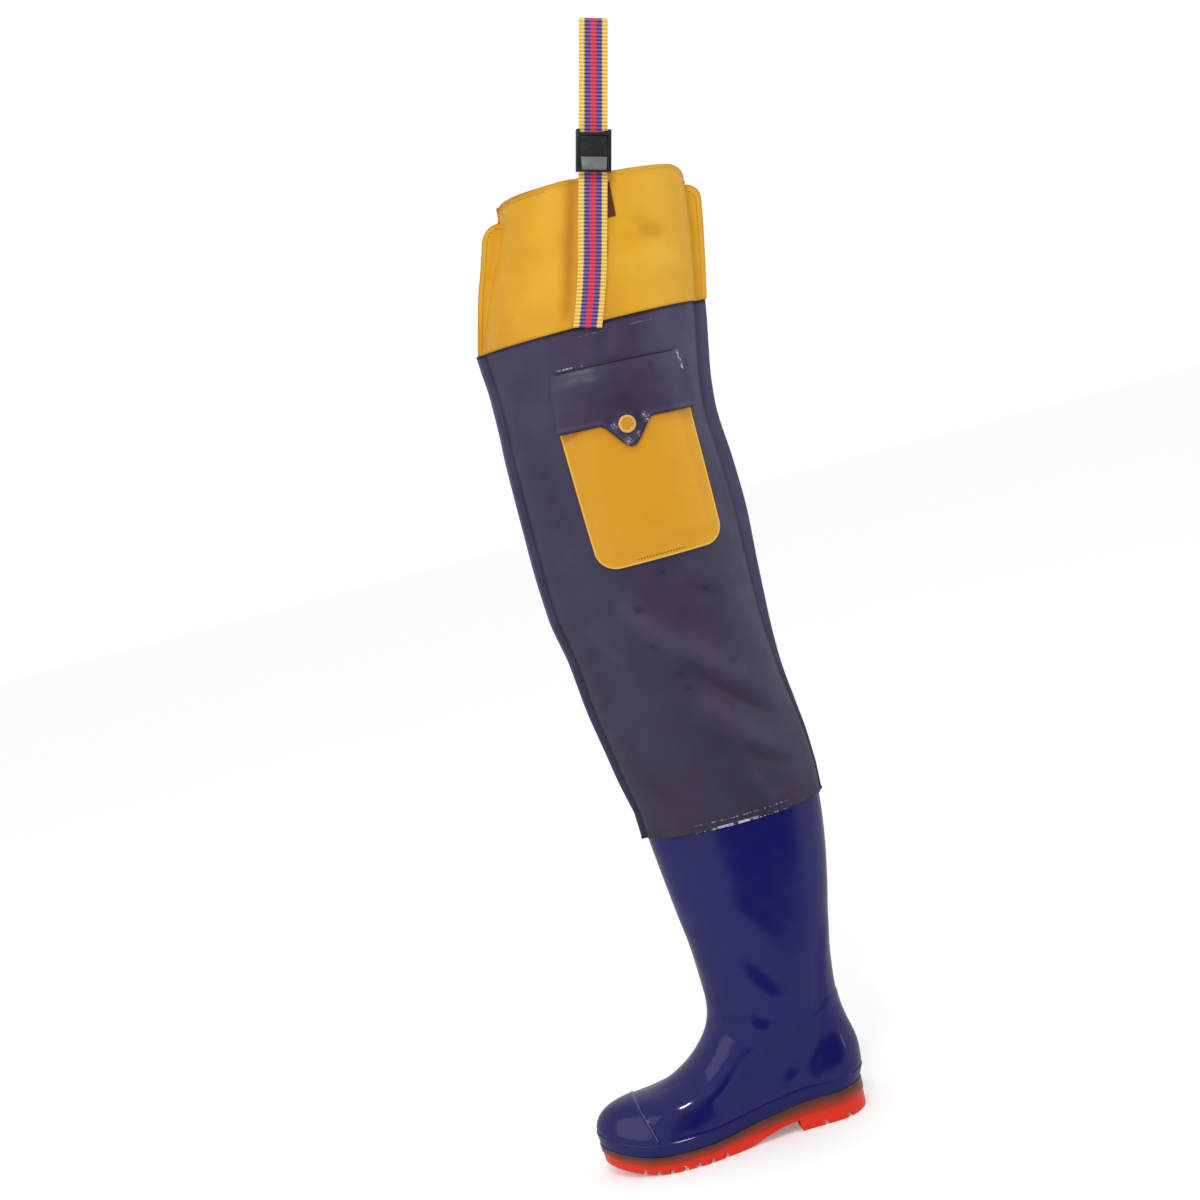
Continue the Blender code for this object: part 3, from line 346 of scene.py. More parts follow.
Limb = namedtuple("Limb", "rise front hollow depth seam_front seam_back")
LIMB = [
    Limb(0.000, 0.00, 0.00, 0.00, 0.60, 0.20),
    Limb(0.068, 0.19, 0.10, 0.07, 0.70, 0.25),
    Limb(0.141, 0.35, 0.38, 0.18, 0.75, 0.35),
    Limb(0.234, 0.55, 0.73, 0.32, 0.82, 0.48),
    Limb(0.337, 0.68, 0.88, 0.48, 0.90, 0.70),
    Limb(0.441, 0.92, 0.85, 0.60, 0.95, 0.85),
    Limb(0.565, 0.98, 0.73, 0.71, 1.00, 0.96),
    Limb(0.669, 0.98, 0.82, 0.79, 1.00, 1.00),
    Limb(0.772, 0.97, 1.00, 0.86, 1.00, 1.00),
    Limb(0.834, 0.93, 0.86, 0.90, 1.00, 1.00),
    Limb(0.907, 0.92, 0.49, 0.95, 1.00, 1.00),
    Limb(0.973, 0.98, 0.12, 0.99, 1.00, 1.00),
    Limb(1.000, 1.00, 0.00, 1.00, 1.00, 1.00),
]

CuffRow = namedtuple("CuffRow", "rise front back depth")
CUFF_ROWS = [
    CuffRow(0.00, 0.00, 0.00, 0.00),
    CuffRow(0.20, 0.21, 0.28, 0.25),
    CuffRow(0.40, 0.43, 0.52, 0.50),
    CuffRow(0.62, 0.71, 0.76, 0.74),
    CuffRow(0.80, 0.91, 0.91, 0.90),
    CuffRow(1.00, 1.00, 1.00, 1.00),
]

# Soft ridges (out above 0) and troughs (below 0), laid in side view: both ends, how far
# the middle bows sideways, half width, height, and the side (-1 outer, 1 inner, 0 both). They
# run on past their ends by a share of their length, and ease out over a share of it.
FOLD_OVERRUN = 0.25
FOLD_EASE = 0.40
Fold = namedtuple("Fold", "x0 z0 x1 z1 bow width out side")
LEG_FOLDS = [
    Fold(-0.080, 0.566, 0.004, 0.484, 0.004, 0.0143, 0.0022, -1),
    Fold(-0.034, 0.500, 0.030, 0.432, 0.003, 0.0084, -0.0024, -1),
    Fold(-0.036, 0.476, 0.022, 0.404, 0.004, 0.0130, 0.0022, -1),
    Fold(0.002, 0.402, 0.042, 0.374, 0.002, 0.0078, -0.0020, -1),
    Fold(-0.004, 0.390, 0.020, 0.345, 0.002, 0.0080, 0.0014, -1),
    Fold(-0.108, 0.418, -0.082, 0.366, 0.003, 0.0080, -0.0014, -1),
    Fold(-0.020, 0.578, 0.010, 0.560, 0.002, 0.0075, -0.0014, -1),
    Fold(-0.118, 0.560, -0.092, 0.470, -0.004, 0.0120, 0.0014, -1),
    Fold(-0.128, 0.740, -0.118, 0.640, 0.002, 0.0070, -0.0012, 0),
    Fold(0.040, 0.700, 0.046, 0.600, -0.003, 0.0070, -0.0012, 0),
    Fold(0.026, 0.600, 0.050, 0.420, -0.006, 0.0060, 0.0010, 0),
    Fold(-0.070, 0.700, 0.006, 0.640, 0.006, 0.0156, -0.0022, 1),
    Fold(-0.064, 0.560, 0.014, 0.500, 0.005, 0.0130, 0.0024, 1),
    Fold(-0.040, 0.520, 0.030, 0.450, 0.004, 0.0104, -0.0026, 1),
    Fold(-0.090, 0.440, -0.020, 0.400, 0.004, 0.0130, -0.0020, 1),
    Fold(-0.050, 0.790, 0.020, 0.740, 0.006, 0.0182, 0.0020, 1),
]
BOOT_FOLDS = [
    Fold(-0.098, 0.236, -0.030, 0.158, -0.010, 0.0110, -0.0016, 0),
    Fold(-0.086, 0.262, -0.010, 0.180, -0.012, 0.0120, 0.0012, 0),
    Fold(-0.100, 0.190, -0.034, 0.142, -0.009, 0.0100, 0.0013, 0),
    Fold(-0.098, 0.162, -0.046, 0.124, -0.006, 0.0095, -0.0014, 0),
    Fold(-0.052, 0.128, -0.010, 0.128, -0.003, 0.0090, -0.0011, 0),
    Fold(-0.112, 0.134, -0.070, 0.104, 0.004, 0.0090, -0.0010, 0),
    Fold(0.038, 0.196, 0.020, 0.126, 0.003, 0.0060, 0.0011, 0),
    Fold(0.026, 0.186, 0.009, 0.112, 0.003, 0.0064, -0.0012, 0),
    Fold(0.018, 0.118, -0.026, 0.062, 0.009, 0.0064, 0.0011, 0),
    Fold(0.006, 0.120, -0.038, 0.066, 0.010, 0.0078, -0.0010, 0),
    Fold(0.052, 0.120, 0.038, 0.060, 0.002, 0.0100, -0.0012, 0),
    Fold(-0.020, 0.340, 0.010, 0.230, 0.004, 0.0160, -0.0009, 0),
    Fold(-0.062, 0.330, -0.046, 0.240, 0.003, 0.0180, 0.0008, 0),
    Fold(-0.150, 0.070, -0.100, 0.050, 0.004, 0.0110, -0.0010, 0),
]
CUFF_FOLDS = [
    Fold(-0.064, 0.868, -0.030, 0.972, 0.000, 0.0045, -0.0022, -1),
    Fold(-0.078, 0.868, -0.044, 0.975, 0.000, 0.0085, 0.0012, -1),
    Fold(0.020, 0.930, 0.038, 0.908, 0.003, 0.0090, -0.0030, -1),
    Fold(0.010, 0.905, 0.050, 0.880, 0.002, 0.0120, 0.0012, -1),
    Fold(0.002, 0.972, 0.0005, 0.940, 0.000, 0.0022, -0.0013, -1),
    Fold(-0.004, 0.935, 0.024, 0.930, 0.001, 0.0050, -0.0008, -1),
    Fold(-0.050, 0.960, 0.020, 0.900, 0.005, 0.0140, -0.0022, 1),
    Fold(-0.080, 0.900, -0.020, 0.870, 0.003, 0.0120, 0.0014, 1),
]

# Spots on the outer side: middle, stretch each way, radius, and how much they add to painted shade
# and light, glints or depth
Spot = namedtuple("Spot", "x z wide tall size share")
# Painted shade and light on the flap round its button and below its top edge
FLAP_SHADE_SPOTS = [
    Spot(BUTTON_X, BUTTON_Z + 0.0200, 1.8, 1.0, 0.0120, -0.20),
    Spot(BUTTON_X + 0.0135, BUTTON_Z + 0.0040, 1.0, 1.6, 0.0035, -0.22),
    Spot(BUTTON_X - 0.0170, BUTTON_Z + 0.0080, 1.0, 1.2, 0.0040, -0.18),
    Spot(BUTTON_X - 0.0040, BUTTON_Z + 0.0135, 1.6, 1.0, 0.0030, 0.16),
    Spot(-0.0728, 0.7933, 1.0, 1.0, 0.0030, -0.26),
    Spot(-0.0009, 0.7919, 1.0, 1.0, 0.0030, -0.26),
]
FLAP_GLINTS = [
    Spot(-0.0175, 0.7435, 1.0, 1.0, 0.0030, 1.0),
    Spot(-0.0410, 0.7268, 1.0, 1.0, 0.0032, 1.0),
    Spot(-0.0512, 0.7440, 1.0, 1.0, 0.0026, 1.0),
    Spot(-0.0200, 0.7480, 1.0, 1.0, 0.0020, 1.0),
    Spot(-0.0300, 0.7310, 1.0, 1.0, 0.0018, 1.0),
]
# Painted shade and light on the cuff's outer side
CUFF_SHADE_SPOTS = [
    Spot(0.033, 0.918, 1.6, 1.0, 0.011, -0.26),
    Spot(0.020, 0.893, 2.4, 1.0, 0.016, 0.18),
]

# Small press marks on the leg's outer side
MARK_RADIUS = 0.0028
MARK_DEPTH = 0.0007
MARKS = [
    Spot(x, z, 1.0, 1.0, MARK_RADIUS, 1.0) for x, z in (
        (-0.0708, 0.5643), (-0.0008, 0.5674), (-0.0400, 0.5946), (-0.0665, 0.5247),
        (-0.0459, 0.4917), (-0.0420, 0.4769), (0.0087, 0.4909), (0.0370, 0.7860),
    )
]
# How much the press marks and folds darken or lighten the leg: painted shade in marks and troughs,
# painted light on ridges
MARK_SHADE = 0.42
FOLD_SHADING = 70.0

# Display colours (8 bits): darkest, plain and lightest for cloth, between which its painted shade
# and light run, from the ground up for the sole
BOOT_NAVY = ((12, 14, 84), (22, 24, 100))
# Colour of the painted highlight along the toe cap's ridge
CAP_HIGHLIGHT_COLOUR = (120, 124, 180)
DUST = (84, 86, 130)
SOLE_COLOURS = [
    (0.00, (244, 44, 6)), (0.46, (226, 42, 8)), (0.64, (170, 46, 16)), (0.82, (110, 50, 24)),
    (1.00, (70, 42, 40)),
]
LEG_COLOURS = ((34, 28, 46), (58, 51, 79), (92, 86, 120))
FLAP_COLOURS = ((32, 26, 44), (60, 53, 80), (92, 86, 118))
CUFF_COLOURS = ((184, 114, 4), (224, 166, 12), (237, 192, 54))
POCKET_COLOURS = ((198, 130, 2), (217, 153, 6), (232, 174, 34))
CLOTH_CLOUD = 0.32
THREAD_PITCH = 2.0 * math.pi / 6200.0
WEAVE_DEPTH = 0.00006

# The camera at the photograph's angle, and the frame's roll
CAMERA_PLACE = (-0.27835, -1.98054, 0.745)
CAMERA_PAN = math.radians(5.15762)
CAMERA_TILT = math.radians(-4.80536)
CAMERA_ROLL = math.radians(-14.6)
CAMERA_LENS = 59.1
CAMERA_SENSOR = 36.0

# The way in which the studio is dark, towards the camera and a little to its right, and the
# shares of facing it between which reflections darken. LIFT is what the camera sees beyond the
# light that is given; MIRRORED is what reflections see, at most and on the dark side.
DARK_SIDE = (0.371, -0.928, 0.0)
DARK_START = 0.66
DARK_END = 0.94
WORLD_LIGHT = 0.80
WORLD_LIFT = 0.22
WORLD_MIRRORED = (0.44, 0.05)
FLOOR_SIZE = 14.0
FLOOR_GREY = 0.97
FLOOR_LIFT = 0.21
FLOOR_MIRRORED = (0.46, 0.06)

# Lamps: name, place, width, power and height
LAMP_TARGET = (-0.05, 0.0, 0.50)
Lamp = namedtuple("Lamp", "name place wide power tall")
LAMPS = [
    Lamp("left light", (-2.4, -1.5, 1.5), 1.6, 7.0, 2.4),
    Lamp("right strip", (2.4, -0.9, 1.0), 0.3, 4.0, 2.2),
    Lamp("small top light", (-0.35, -1.6, 2.4), 0.3, 12.0, 0.3),
]


# General helpers

def lerp(start, end, share):
    """The value that lies this share of the way from start to end."""
    return start + (end - start) * share


def clamp(value, low=0.0, high=1.0):
    """The value, kept between low and high."""
    return max(low, min(high, value))


def smooth_step(share):
    """Eases from 0 to 1 over shares 0 to 1, and stays level outside them."""
    t = clamp(share)
    return t * t * (3.0 - 2.0 * t)


def hump(distance, width):
    """A soft bump of height 1 that fades over its width."""
    return math.exp(-(distance / width) ** 2)


def spot_sum(spots, x, z):
    """How much the spots add here."""
    total = 0.0
    for spot in spots:
        off = math.hypot((x - spot.x) / spot.wide, (z - spot.z) / spot.tall)
        total += spot.share * hump(off, spot.size)
    return total


def read_table(rows, column, at):
    """A smooth value without overshoot of one column of a table, keyed by its first column."""
    keys = [row[0] for row in rows]
    values = [getattr(row, column) for row in rows]
    if at <= keys[0]:
        return values[0]
    if at >= keys[-1]:
        return values[-1]
    slopes = [(values[i + 1] - values[i]) / (keys[i + 1] - keys[i]) for i in range(len(keys) - 1)]
    tangents = [slopes[0]]
    for before, after in zip(slopes, slopes[1:]):
        level = before * after <= 0.0
        tangents.append(0.0 if level else 2.0 * before * after / (before + after))
    tangents.append(slopes[-1])
    i = max(k for k in range(len(keys) - 1) if keys[k] <= at)
    span = keys[i + 1] - keys[i]
    t = (at - keys[i]) / span
    start_pull = t * (1.0 - t) ** 2 * span * tangents[i]
    end_pull = t * t * (t - 1.0) * span * tangents[i + 1]
    return lerp(values[i], values[i + 1], smooth_step(t)) + start_pull + end_pull


def corner_inset(distance, radius):
    """How far a rounded side lies inside a square one, this far from the end."""
    if distance >= radius:
        return 0.0
    return radius - math.sqrt(radius ** 2 - (radius - distance) ** 2)


def ring_angles(columns):
    """Angles round a ring, from its back over the outer side to its front and home again."""
    return [2.0 * math.pi * i / columns for i in range(columns)]


def fold_height(folds, x, z, side):
    """How far the listed ridges and troughs lift the surface here."""
    total = 0.0
    for fold in folds:
        if fold.side * side < 0.0:
            continue
        run = Vector((fold.x1 - fold.x0, fold.z1 - fold.z0))
        length = run.length
        run /= length
        to = Vector((x - fold.x0, z - fold.z0))
        along = to.dot(run) / length
        before = along + FOLD_OVERRUN
        after = 1.0 + FOLD_OVERRUN - along
        if before <= 0.0 or after <= 0.0:
            continue
        bow = fold.bow * (1.0 - (2.0 * clamp(along) - 1.0) ** 2)
        off = to.x * run.y - to.y * run.x - bow
        end = smooth_step(before / FOLD_EASE) * smooth_step(after / FOLD_EASE)
        total += fold.out * hump(off, fold.width) * end
    return total


def steps_between(start, end, cell):
    """Evenly spaced values from start up to end, about a cell apart, with end left out."""
    count = max(1, round(abs(end - start) / cell))
    return [lerp(start, end, i / count) for i in range(count)]


def spline_rings(rings):
    """The given rings with further ones between them, on smooth curves through their points."""
    spans = []
    for lower, upper in zip(rings, rings[1:]):
        spans.append(sum((b - a).length for a, b in zip(lower, upper)) / len(lower))
    last = len(rings) - 1
    pulls = []
    for k in range(last + 1):
        pull = []
        for i, point in enumerate(rings[k]):
            before = (point - rings[k - 1][i]) / spans[k - 1] if k > 0 else None
            after = (rings[k + 1][i] - point) / spans[k] if k < last else None
            if before is None or after is None:
                pull.append(after if before is None else before)
            else:
                share = spans[k - 1] / (spans[k - 1] + spans[k])
                pull.append(lerp(before, after, share))
        pulls.append(pull)
    made = []
    for k in range(last):
        count = max(1, round(spans[k] / CELL))
        for step in range(count):
            t = step / count
            ease = smooth_step(t)
            start_share = t * (1.0 - t) ** 2 * spans[k]
            end_share = t * t * (t - 1.0) * spans[k]
            ring = []
            for i, point in enumerate(rings[k]):
                place = lerp(point, rings[k + 1][i], ease)
                ring.append(place + pulls[k][i] * start_share + pulls[k + 1][i] * end_share)
            made.append(ring)
    made.append(rings[-1])
    return made


def eased_columns(rings, rounds):
    """The rings with points evenly spaced up each column, and smoothed at the foot's sides."""
    count = len(rings)
    columns = []
    for i in range(len(rings[0])):
        path = [ring[i] for ring in rings]
        reach = [0.0]
        for before, after in zip(path, path[1:]):
            reach.append(reach[-1] + (after - before).length)
        even = []
        k = 0
        for step in range(count):
            want = reach[-1] * step / (count - 1)
            while k < count - 2 and reach[k + 1] < want:
                k += 1
            span = max(reach[k + 1] - reach[k], 1e-9)
            even.append(lerp(path[k], path[k + 1], clamp((want - reach[k]) / span)))
        beside = abs(math.sin(2.0 * math.pi * i / len(rings[0])))
        pull = 0.5 * smooth_step((beside - 0.30) / 0.35)
        for _ in range(rounds):
            inner = [
                lerp(spot, (before + after) / 2.0, pull)
                for before, spot, after in zip(even, even[1:], even[2:])
            ]
            even[1:-1] = inner
        columns.append(even)
    return [list(ring) for ring in zip(*columns)]


def lay_rings(bm, rings, closed=True):
    """A grid moved onto rows of points; closed rows join their ends."""
    columns = len(rings[0])
    across = columns if closed else columns - 1
    up = len(rings) - 1
    bm.loops.layers.uv.verify()
    made = bmesh.ops.create_grid(
        bm, x_segments=across, y_segments=up, size=1.0, calc_uvs=True,
    )["verts"]
    for vert in made:
        column = round((vert.co.x + 1.0) / 2.0 * across) % columns
        row = round((vert.co.y + 1.0) / 2.0 * up)
        vert.co = rings[row][column]
    if closed:
        bmesh.ops.remove_doubles(bm, verts=made, dist=1e-6)


def face_outward(bm):
    """Points the faces away from the middle of the mesh."""
    bmesh.ops.recalc_face_normals(bm, faces=bm.faces)
    middle = sum((v.co for v in bm.verts), Vector()) / len(bm.verts)
    total = 0.0
    for face in bm.faces:
        away = face.calc_center_median() - middle
        away.z = 0.0
        total += face.normal.dot(away) * face.calc_area()
    if total < 0.0:
        bmesh.ops.reverse_faces(bm, faces=bm.faces)


def add_object(name, data):
    """A new object in the scene."""
    made = bpy.data.objects.new(name, data)
    bpy.context.scene.collection.objects.link(made)
    return made


def mesh_object(bm, name):
    """A new object that takes over a finished bmesh."""
    mesh = bpy.data.meshes.new(name)
    bm.to_mesh(mesh)
    bm.free()
    return add_object(name, mesh)


def write_attribute(mesh, name, value_at):
    """Keeps the value at each vertex as an attribute of the mesh."""
    values = [value_at(vert.co) for vert in mesh.vertices]
    mesh.attributes.new(name, "FLOAT", "POINT").data.foreach_set("value", values)


def finish_piece(bm, name, material, node, tones=None, smooth=40.0):
    """A shown piece from a mesh, on the root body, with its material, slot and CAD node.

    tones names the attributes that its material reads, each with a function of a vertex.
    """
    piece = mesh_object(bm, name)
    piece.data.shade_smooth()
    piece.data.set_sharp_from_angle(angle=math.radians(smooth))
    for layer, tone_and_shading in (tones or {}).items():
        write_attribute(piece.data, layer, tone_and_shading)
    piece.data.materials.append(material)
    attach(piece, "root")
    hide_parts(node)
    return piece


def add_wall(piece, thickness):
    """Gives a skin its wall, inwards from its face."""
    wall = piece.modifiers.new("Wall", "SOLIDIFY")
    wall.thickness = thickness
    wall.offset = -1.0


def soften_edges(piece, width, angle):
    """Rounds a piece's sharp edges."""
    edge = piece.modifiers.new("Edges", "BEVEL")
    edge.width = width
    edge.segments = 2
    edge.limit_method = "ANGLE"
    edge.angle_limit = math.radians(angle)


def relax(bm, verts, rounds):
    """Smooths the places of these vertices, again and again."""
    for _ in range(rounds):
        bmesh.ops.smooth_vert(
            bm, verts=verts, factor=0.5, use_axis_x=True, use_axis_y=True, use_axis_z=True,
        )


def settle_modifiers(piece):
    """Makes a piece's modifiers part of its mesh."""
    depsgraph = bpy.context.evaluated_depsgraph_get()
    mesh = bpy.data.meshes.new_from_object(piece.evaluated_get(depsgraph))
    mesh.name = piece.name
    piece.modifiers.clear()
    piece.data = mesh


def hidden_cutter(bm, name):
    """A cutter object, which goes again once it has cut."""
    bmesh.ops.recalc_face_normals(bm, faces=bm.faces)
    return mesh_object(bm, name)


def cut_away(piece, cutters, crossing=()):
    """Cuts the cutters out of a piece; those that are crossing have bars that cross each other."""
    for cutter in cutters:
        cut = piece.modifiers.new("Cut", "BOOLEAN")
        cut.operation = "DIFFERENCE"
        cut.solver = "EXACT"
        cut.use_self = cutter in crossing
        cut.object = cutter
    settle_modifiers(piece)
    for cutter in cutters:
        bpy.data.objects.remove(cutter, do_unlink=True)


# Shader helpers

def put(tree, kind, settings=None, inputs=None):
    """A node with its settings; each input is a value or another node's output."""
    made = tree.nodes.new(kind)
    for key, value in (settings or {}).items():
        setattr(made, key, value)
    for key, value in (inputs or {}).items():
        if isinstance(value, bpy.types.NodeSocket):
            tree.links.new(value, made.inputs[key])
        else:
            made.inputs[key].default_value = value
    return made


def sums(tree, operation, first, second=0.0, third=0.0):
    """The output of a Math node."""
    return put(tree, "ShaderNodeMath", {"operation": operation},
               {0: first, 1: second, 2: third}).outputs[0]


def times(tree, first, *others):
    """The product of two or more values."""
    for other in others:
        first = sums(tree, "MULTIPLY", first, other)
    return first


def with_share(tree, first, second, share):
    """The first value with this share of the second added."""
    return sums(tree, "MULTIPLY_ADD", second, share, first)


def largest(tree, first, second):
    """The larger of two values."""
    return sums(tree, "MAXIMUM", first, second)


def sine(tree, value, pitch):
    """A sine wave of this pitch along the value."""
    return sums(tree, "SINE", times(tree, value, 2.0 * math.pi / pitch))


def ranged(tree, value, low=0.0, high=1.0, start=0.0, end=1.0, eased=False):
    """The value moved from the range low to high onto start to end, and kept within them."""
    kind = "SMOOTHSTEP" if eased else "LINEAR"
    return put(tree, "ShaderNodeMapRange", {"interpolation_type": kind}, {
        "Value": value, "From Min": low, "From Max": high, "To Min": start, "To Max": end,
    }).outputs[0]


def band(tree, value, low, high, soft):
    """1 where the value lies between low and high, with soft edges."""
    rise = ranged(tree, value, low - soft, low + soft, eased=True)
    fall = ranged(tree, value, high + soft, high - soft, eased=True)
    return times(tree, rise, fall)


def paint(srgb):
    """A linear colour from 8-bit display values."""
    line = []
    for value in srgb:
        share = value / 255.0
        line.append(share / 12.92 if share <= 0.04045 else ((share + 0.055) / 1.055) ** 2.4)
    return (*line, 1.0)


def blend_colours(tree, factor, first, second):
    """The output of a colour Mix node."""
    made = put(tree, "ShaderNodeMix", {"data_type": "RGBA"}, {0: factor, 6: first, 7: second})
    return made.outputs[2]


def painted_over(tree, colour, factor, srgb):
    """The colour with a display colour laid over it where the factor is high."""
    return blend_colours(tree, factor, colour, paint(srgb))


def colour_ramp(tree, factor, stops):
    """The colour of a ramp from its stops, each a position and a display colour."""
    ramp = put(tree, "ShaderNodeValToRGB", None, {0: factor})
    made = ramp.color_ramp.elements
    made[0].color = paint(stops[0][1])
    made[1].color = paint(stops[-1][1])
    for position, srgb in stops[1:-1]:
        made.new(position).color = paint(srgb)
    return ramp.outputs[0]


def noise(tree, vector, scale, detail=3.0, rough=0.5):
    """The factor of a Noise Texture."""
    return put(tree, "ShaderNodeTexNoise", None, {
        "Vector": vector, "Scale": scale, "Detail": detail, "Roughness": rough,
    }).outputs[0]


def attribute(tree, name):
    """The factor of a mesh attribute."""
    return put(tree, "ShaderNodeAttribute", {"attribute_name": name}).outputs["Fac"]


def object_place(tree):
    """Object coordinates."""
    return put(tree, "ShaderNodeTexCoord").outputs["Object"]


def place_parts(tree, place):
    """The x, y and z of a place."""
    return put(tree, "ShaderNodeSeparateXYZ", None, {0: place}).outputs[:]


def bumped(tree, height, distance, strength=1.0, under=None):
    """The normal from a Bump node."""
    inputs = {"Height": height, "Distance": distance, "Strength": strength}
    if under is not None:
        inputs["Normal"] = under
    return put(tree, "ShaderNodeBump", None, inputs).outputs[0]


def new_material(name, **values):
    """A material, its tree and its Principled shader, with plain values set on the shader."""
    material = bpy.data.materials.new(name)
    material.use_nodes = True
    tree = material.node_tree
    shader = tree.nodes["Principled BSDF"]
    for key, value in values.items():
        shader.inputs[key.replace("_", " ")].default_value = value
    return material, tree, shader


def join(tree, output, shader, name):
    """Links an output to the shader's input of that name."""
    tree.links.new(output, shader.inputs[name])


def boot_rubber():
    """Moulded navy PVC: deep gloss with the soft waves of a thin moulding, dust, and a painted
    highlight along the toe cap's ridge.
    """
    material, tree, shader = new_material(
        "boot rubber", Roughness=0.12, Coat_Weight=0.3, Coat_Roughness=0.03, IOR=1.5,
    )
    place = object_place(tree)
    x, _, z = place_parts(tree, place)
    cloud = noise(tree, place, 14.0, 2.0)
    tone_and_shading = blend_colours(tree, cloud, paint(BOOT_NAVY[0]), paint(BOOT_NAVY[1]))
    dust = ranged(tree, noise(tree, place, 420.0, 2.0), 0.66, 0.76)
    tone_and_shading = painted_over(tree, tone_and_shading, times(tree, dust, 0.10), DUST)
    spot, normal = toe_cap_plane()
    across = with_share(tree, times(tree, x, normal.x), z, normal.z)
    level = spot.dot(normal) - CAP_BEAD_SETBACK
    # Painted highlight: a pale line along the toe cap's ridge, kept above the rand
    line = band(tree, across, level - CAP_HIGHLIGHT_HALF, level + CAP_HIGHLIGHT_HALF, 0.0003)
    clear = sums(tree, "GREATER_THAN", z, sole_top(0.86) + RAND_HEIGHT + 0.003)
    tone_and_shading = painted_over(tree, tone_and_shading, times(tree, line, clear, 0.55), CAP_HIGHLIGHT_COLOUR)
    join(tree, tone_and_shading, shader, "Base Color")
    wave = bumped(tree, noise(tree, place, 26.0, 2.0), 0.0011)
    grain = bumped(tree, noise(tree, place, 700.0, 2.0), 0.00004, 1.0, wave)
    join(tree, grain, shader, "Normal")
    gloss = ranged(tree, noise(tree, place, 60.0), start=0.07, end=0.17)
    join(tree, gloss, shader, "Roughness")
    return material


def sole_rubber():
    """Clear red PVC that darkens to brown towards the upper."""
    material, tree, shader = new_material(
        "sole rubber", Roughness=0.15, Coat_Weight=0.5, Coat_Roughness=0.04, IOR=1.5,
        Subsurface_Weight=0.2, Subsurface_Scale=0.005, Subsurface_Radius=(1.0, 0.16, 0.06),
    )
    place = object_place(tree)
    cloud = sums(tree, "SUBTRACT", noise(tree, place, 60.0), 0.5)
    mixed = with_share(tree, attribute(tree, "rise"), cloud, 0.16)
    join(tree, colour_ramp(tree, mixed, SOLE_COLOURS), shader, "Base Color")
    join(tree, bumped(tree, noise(tree, place, 240.0), 0.00012), shader, "Normal")
    return material


def coated_cloth(name, colours, gloss):
    """PVC-coated cloth: an even colour moved by the piece's painted shade and light, with a fine
    pressed weave.
    """
    material, tree, shader = new_material(name, Specular_IOR_Level=0.45)
    place = object_place(tree)
    x, y, z = place_parts(tree, place)
    cloud = sums(tree, "SUBTRACT", noise(tree, place, 30.0), 0.5)
    # The attribute carries each piece's painted shade and light
    moved = with_share(tree, attribute(tree, "tone_and_shading"), cloud, CLOTH_CLOUD)
    colour = colour_ramp(tree, moved, list(zip((0.0, 0.5, 1.0), colours)))
    fine = noise(tree, place, 1300.0, 2.0)
    wave = bumped(tree, noise(tree, place, 42.0, 2.0), 0.0012, 0.6)
    threads = times(tree, sine(tree, x, THREAD_PITCH), sine(tree, z, THREAD_PITCH))
    normal = bumped(tree, with_share(tree, fine, threads, 0.25), WEAVE_DEPTH, 1.0, wave)
    rough = ranged(tree, noise(tree, place, 90.0), start=gloss[0], end=gloss[1])
    join(tree, rough, shader, "Roughness")
    join(tree, normal, shader, "Normal")
    return material, tree, shader, (place, x, y, z), colour, normal


def weld_line(tree, distance, along, at, width, pitch):
    """A dotted weld: marks a line at this distance from an edge, broken along its run."""
    line = band(tree, distance, at - width / 2.0, at + width / 2.0, width * 0.35)
    return times(tree, line, ranged(tree, sine(tree, along, pitch), -0.5, 0.4))


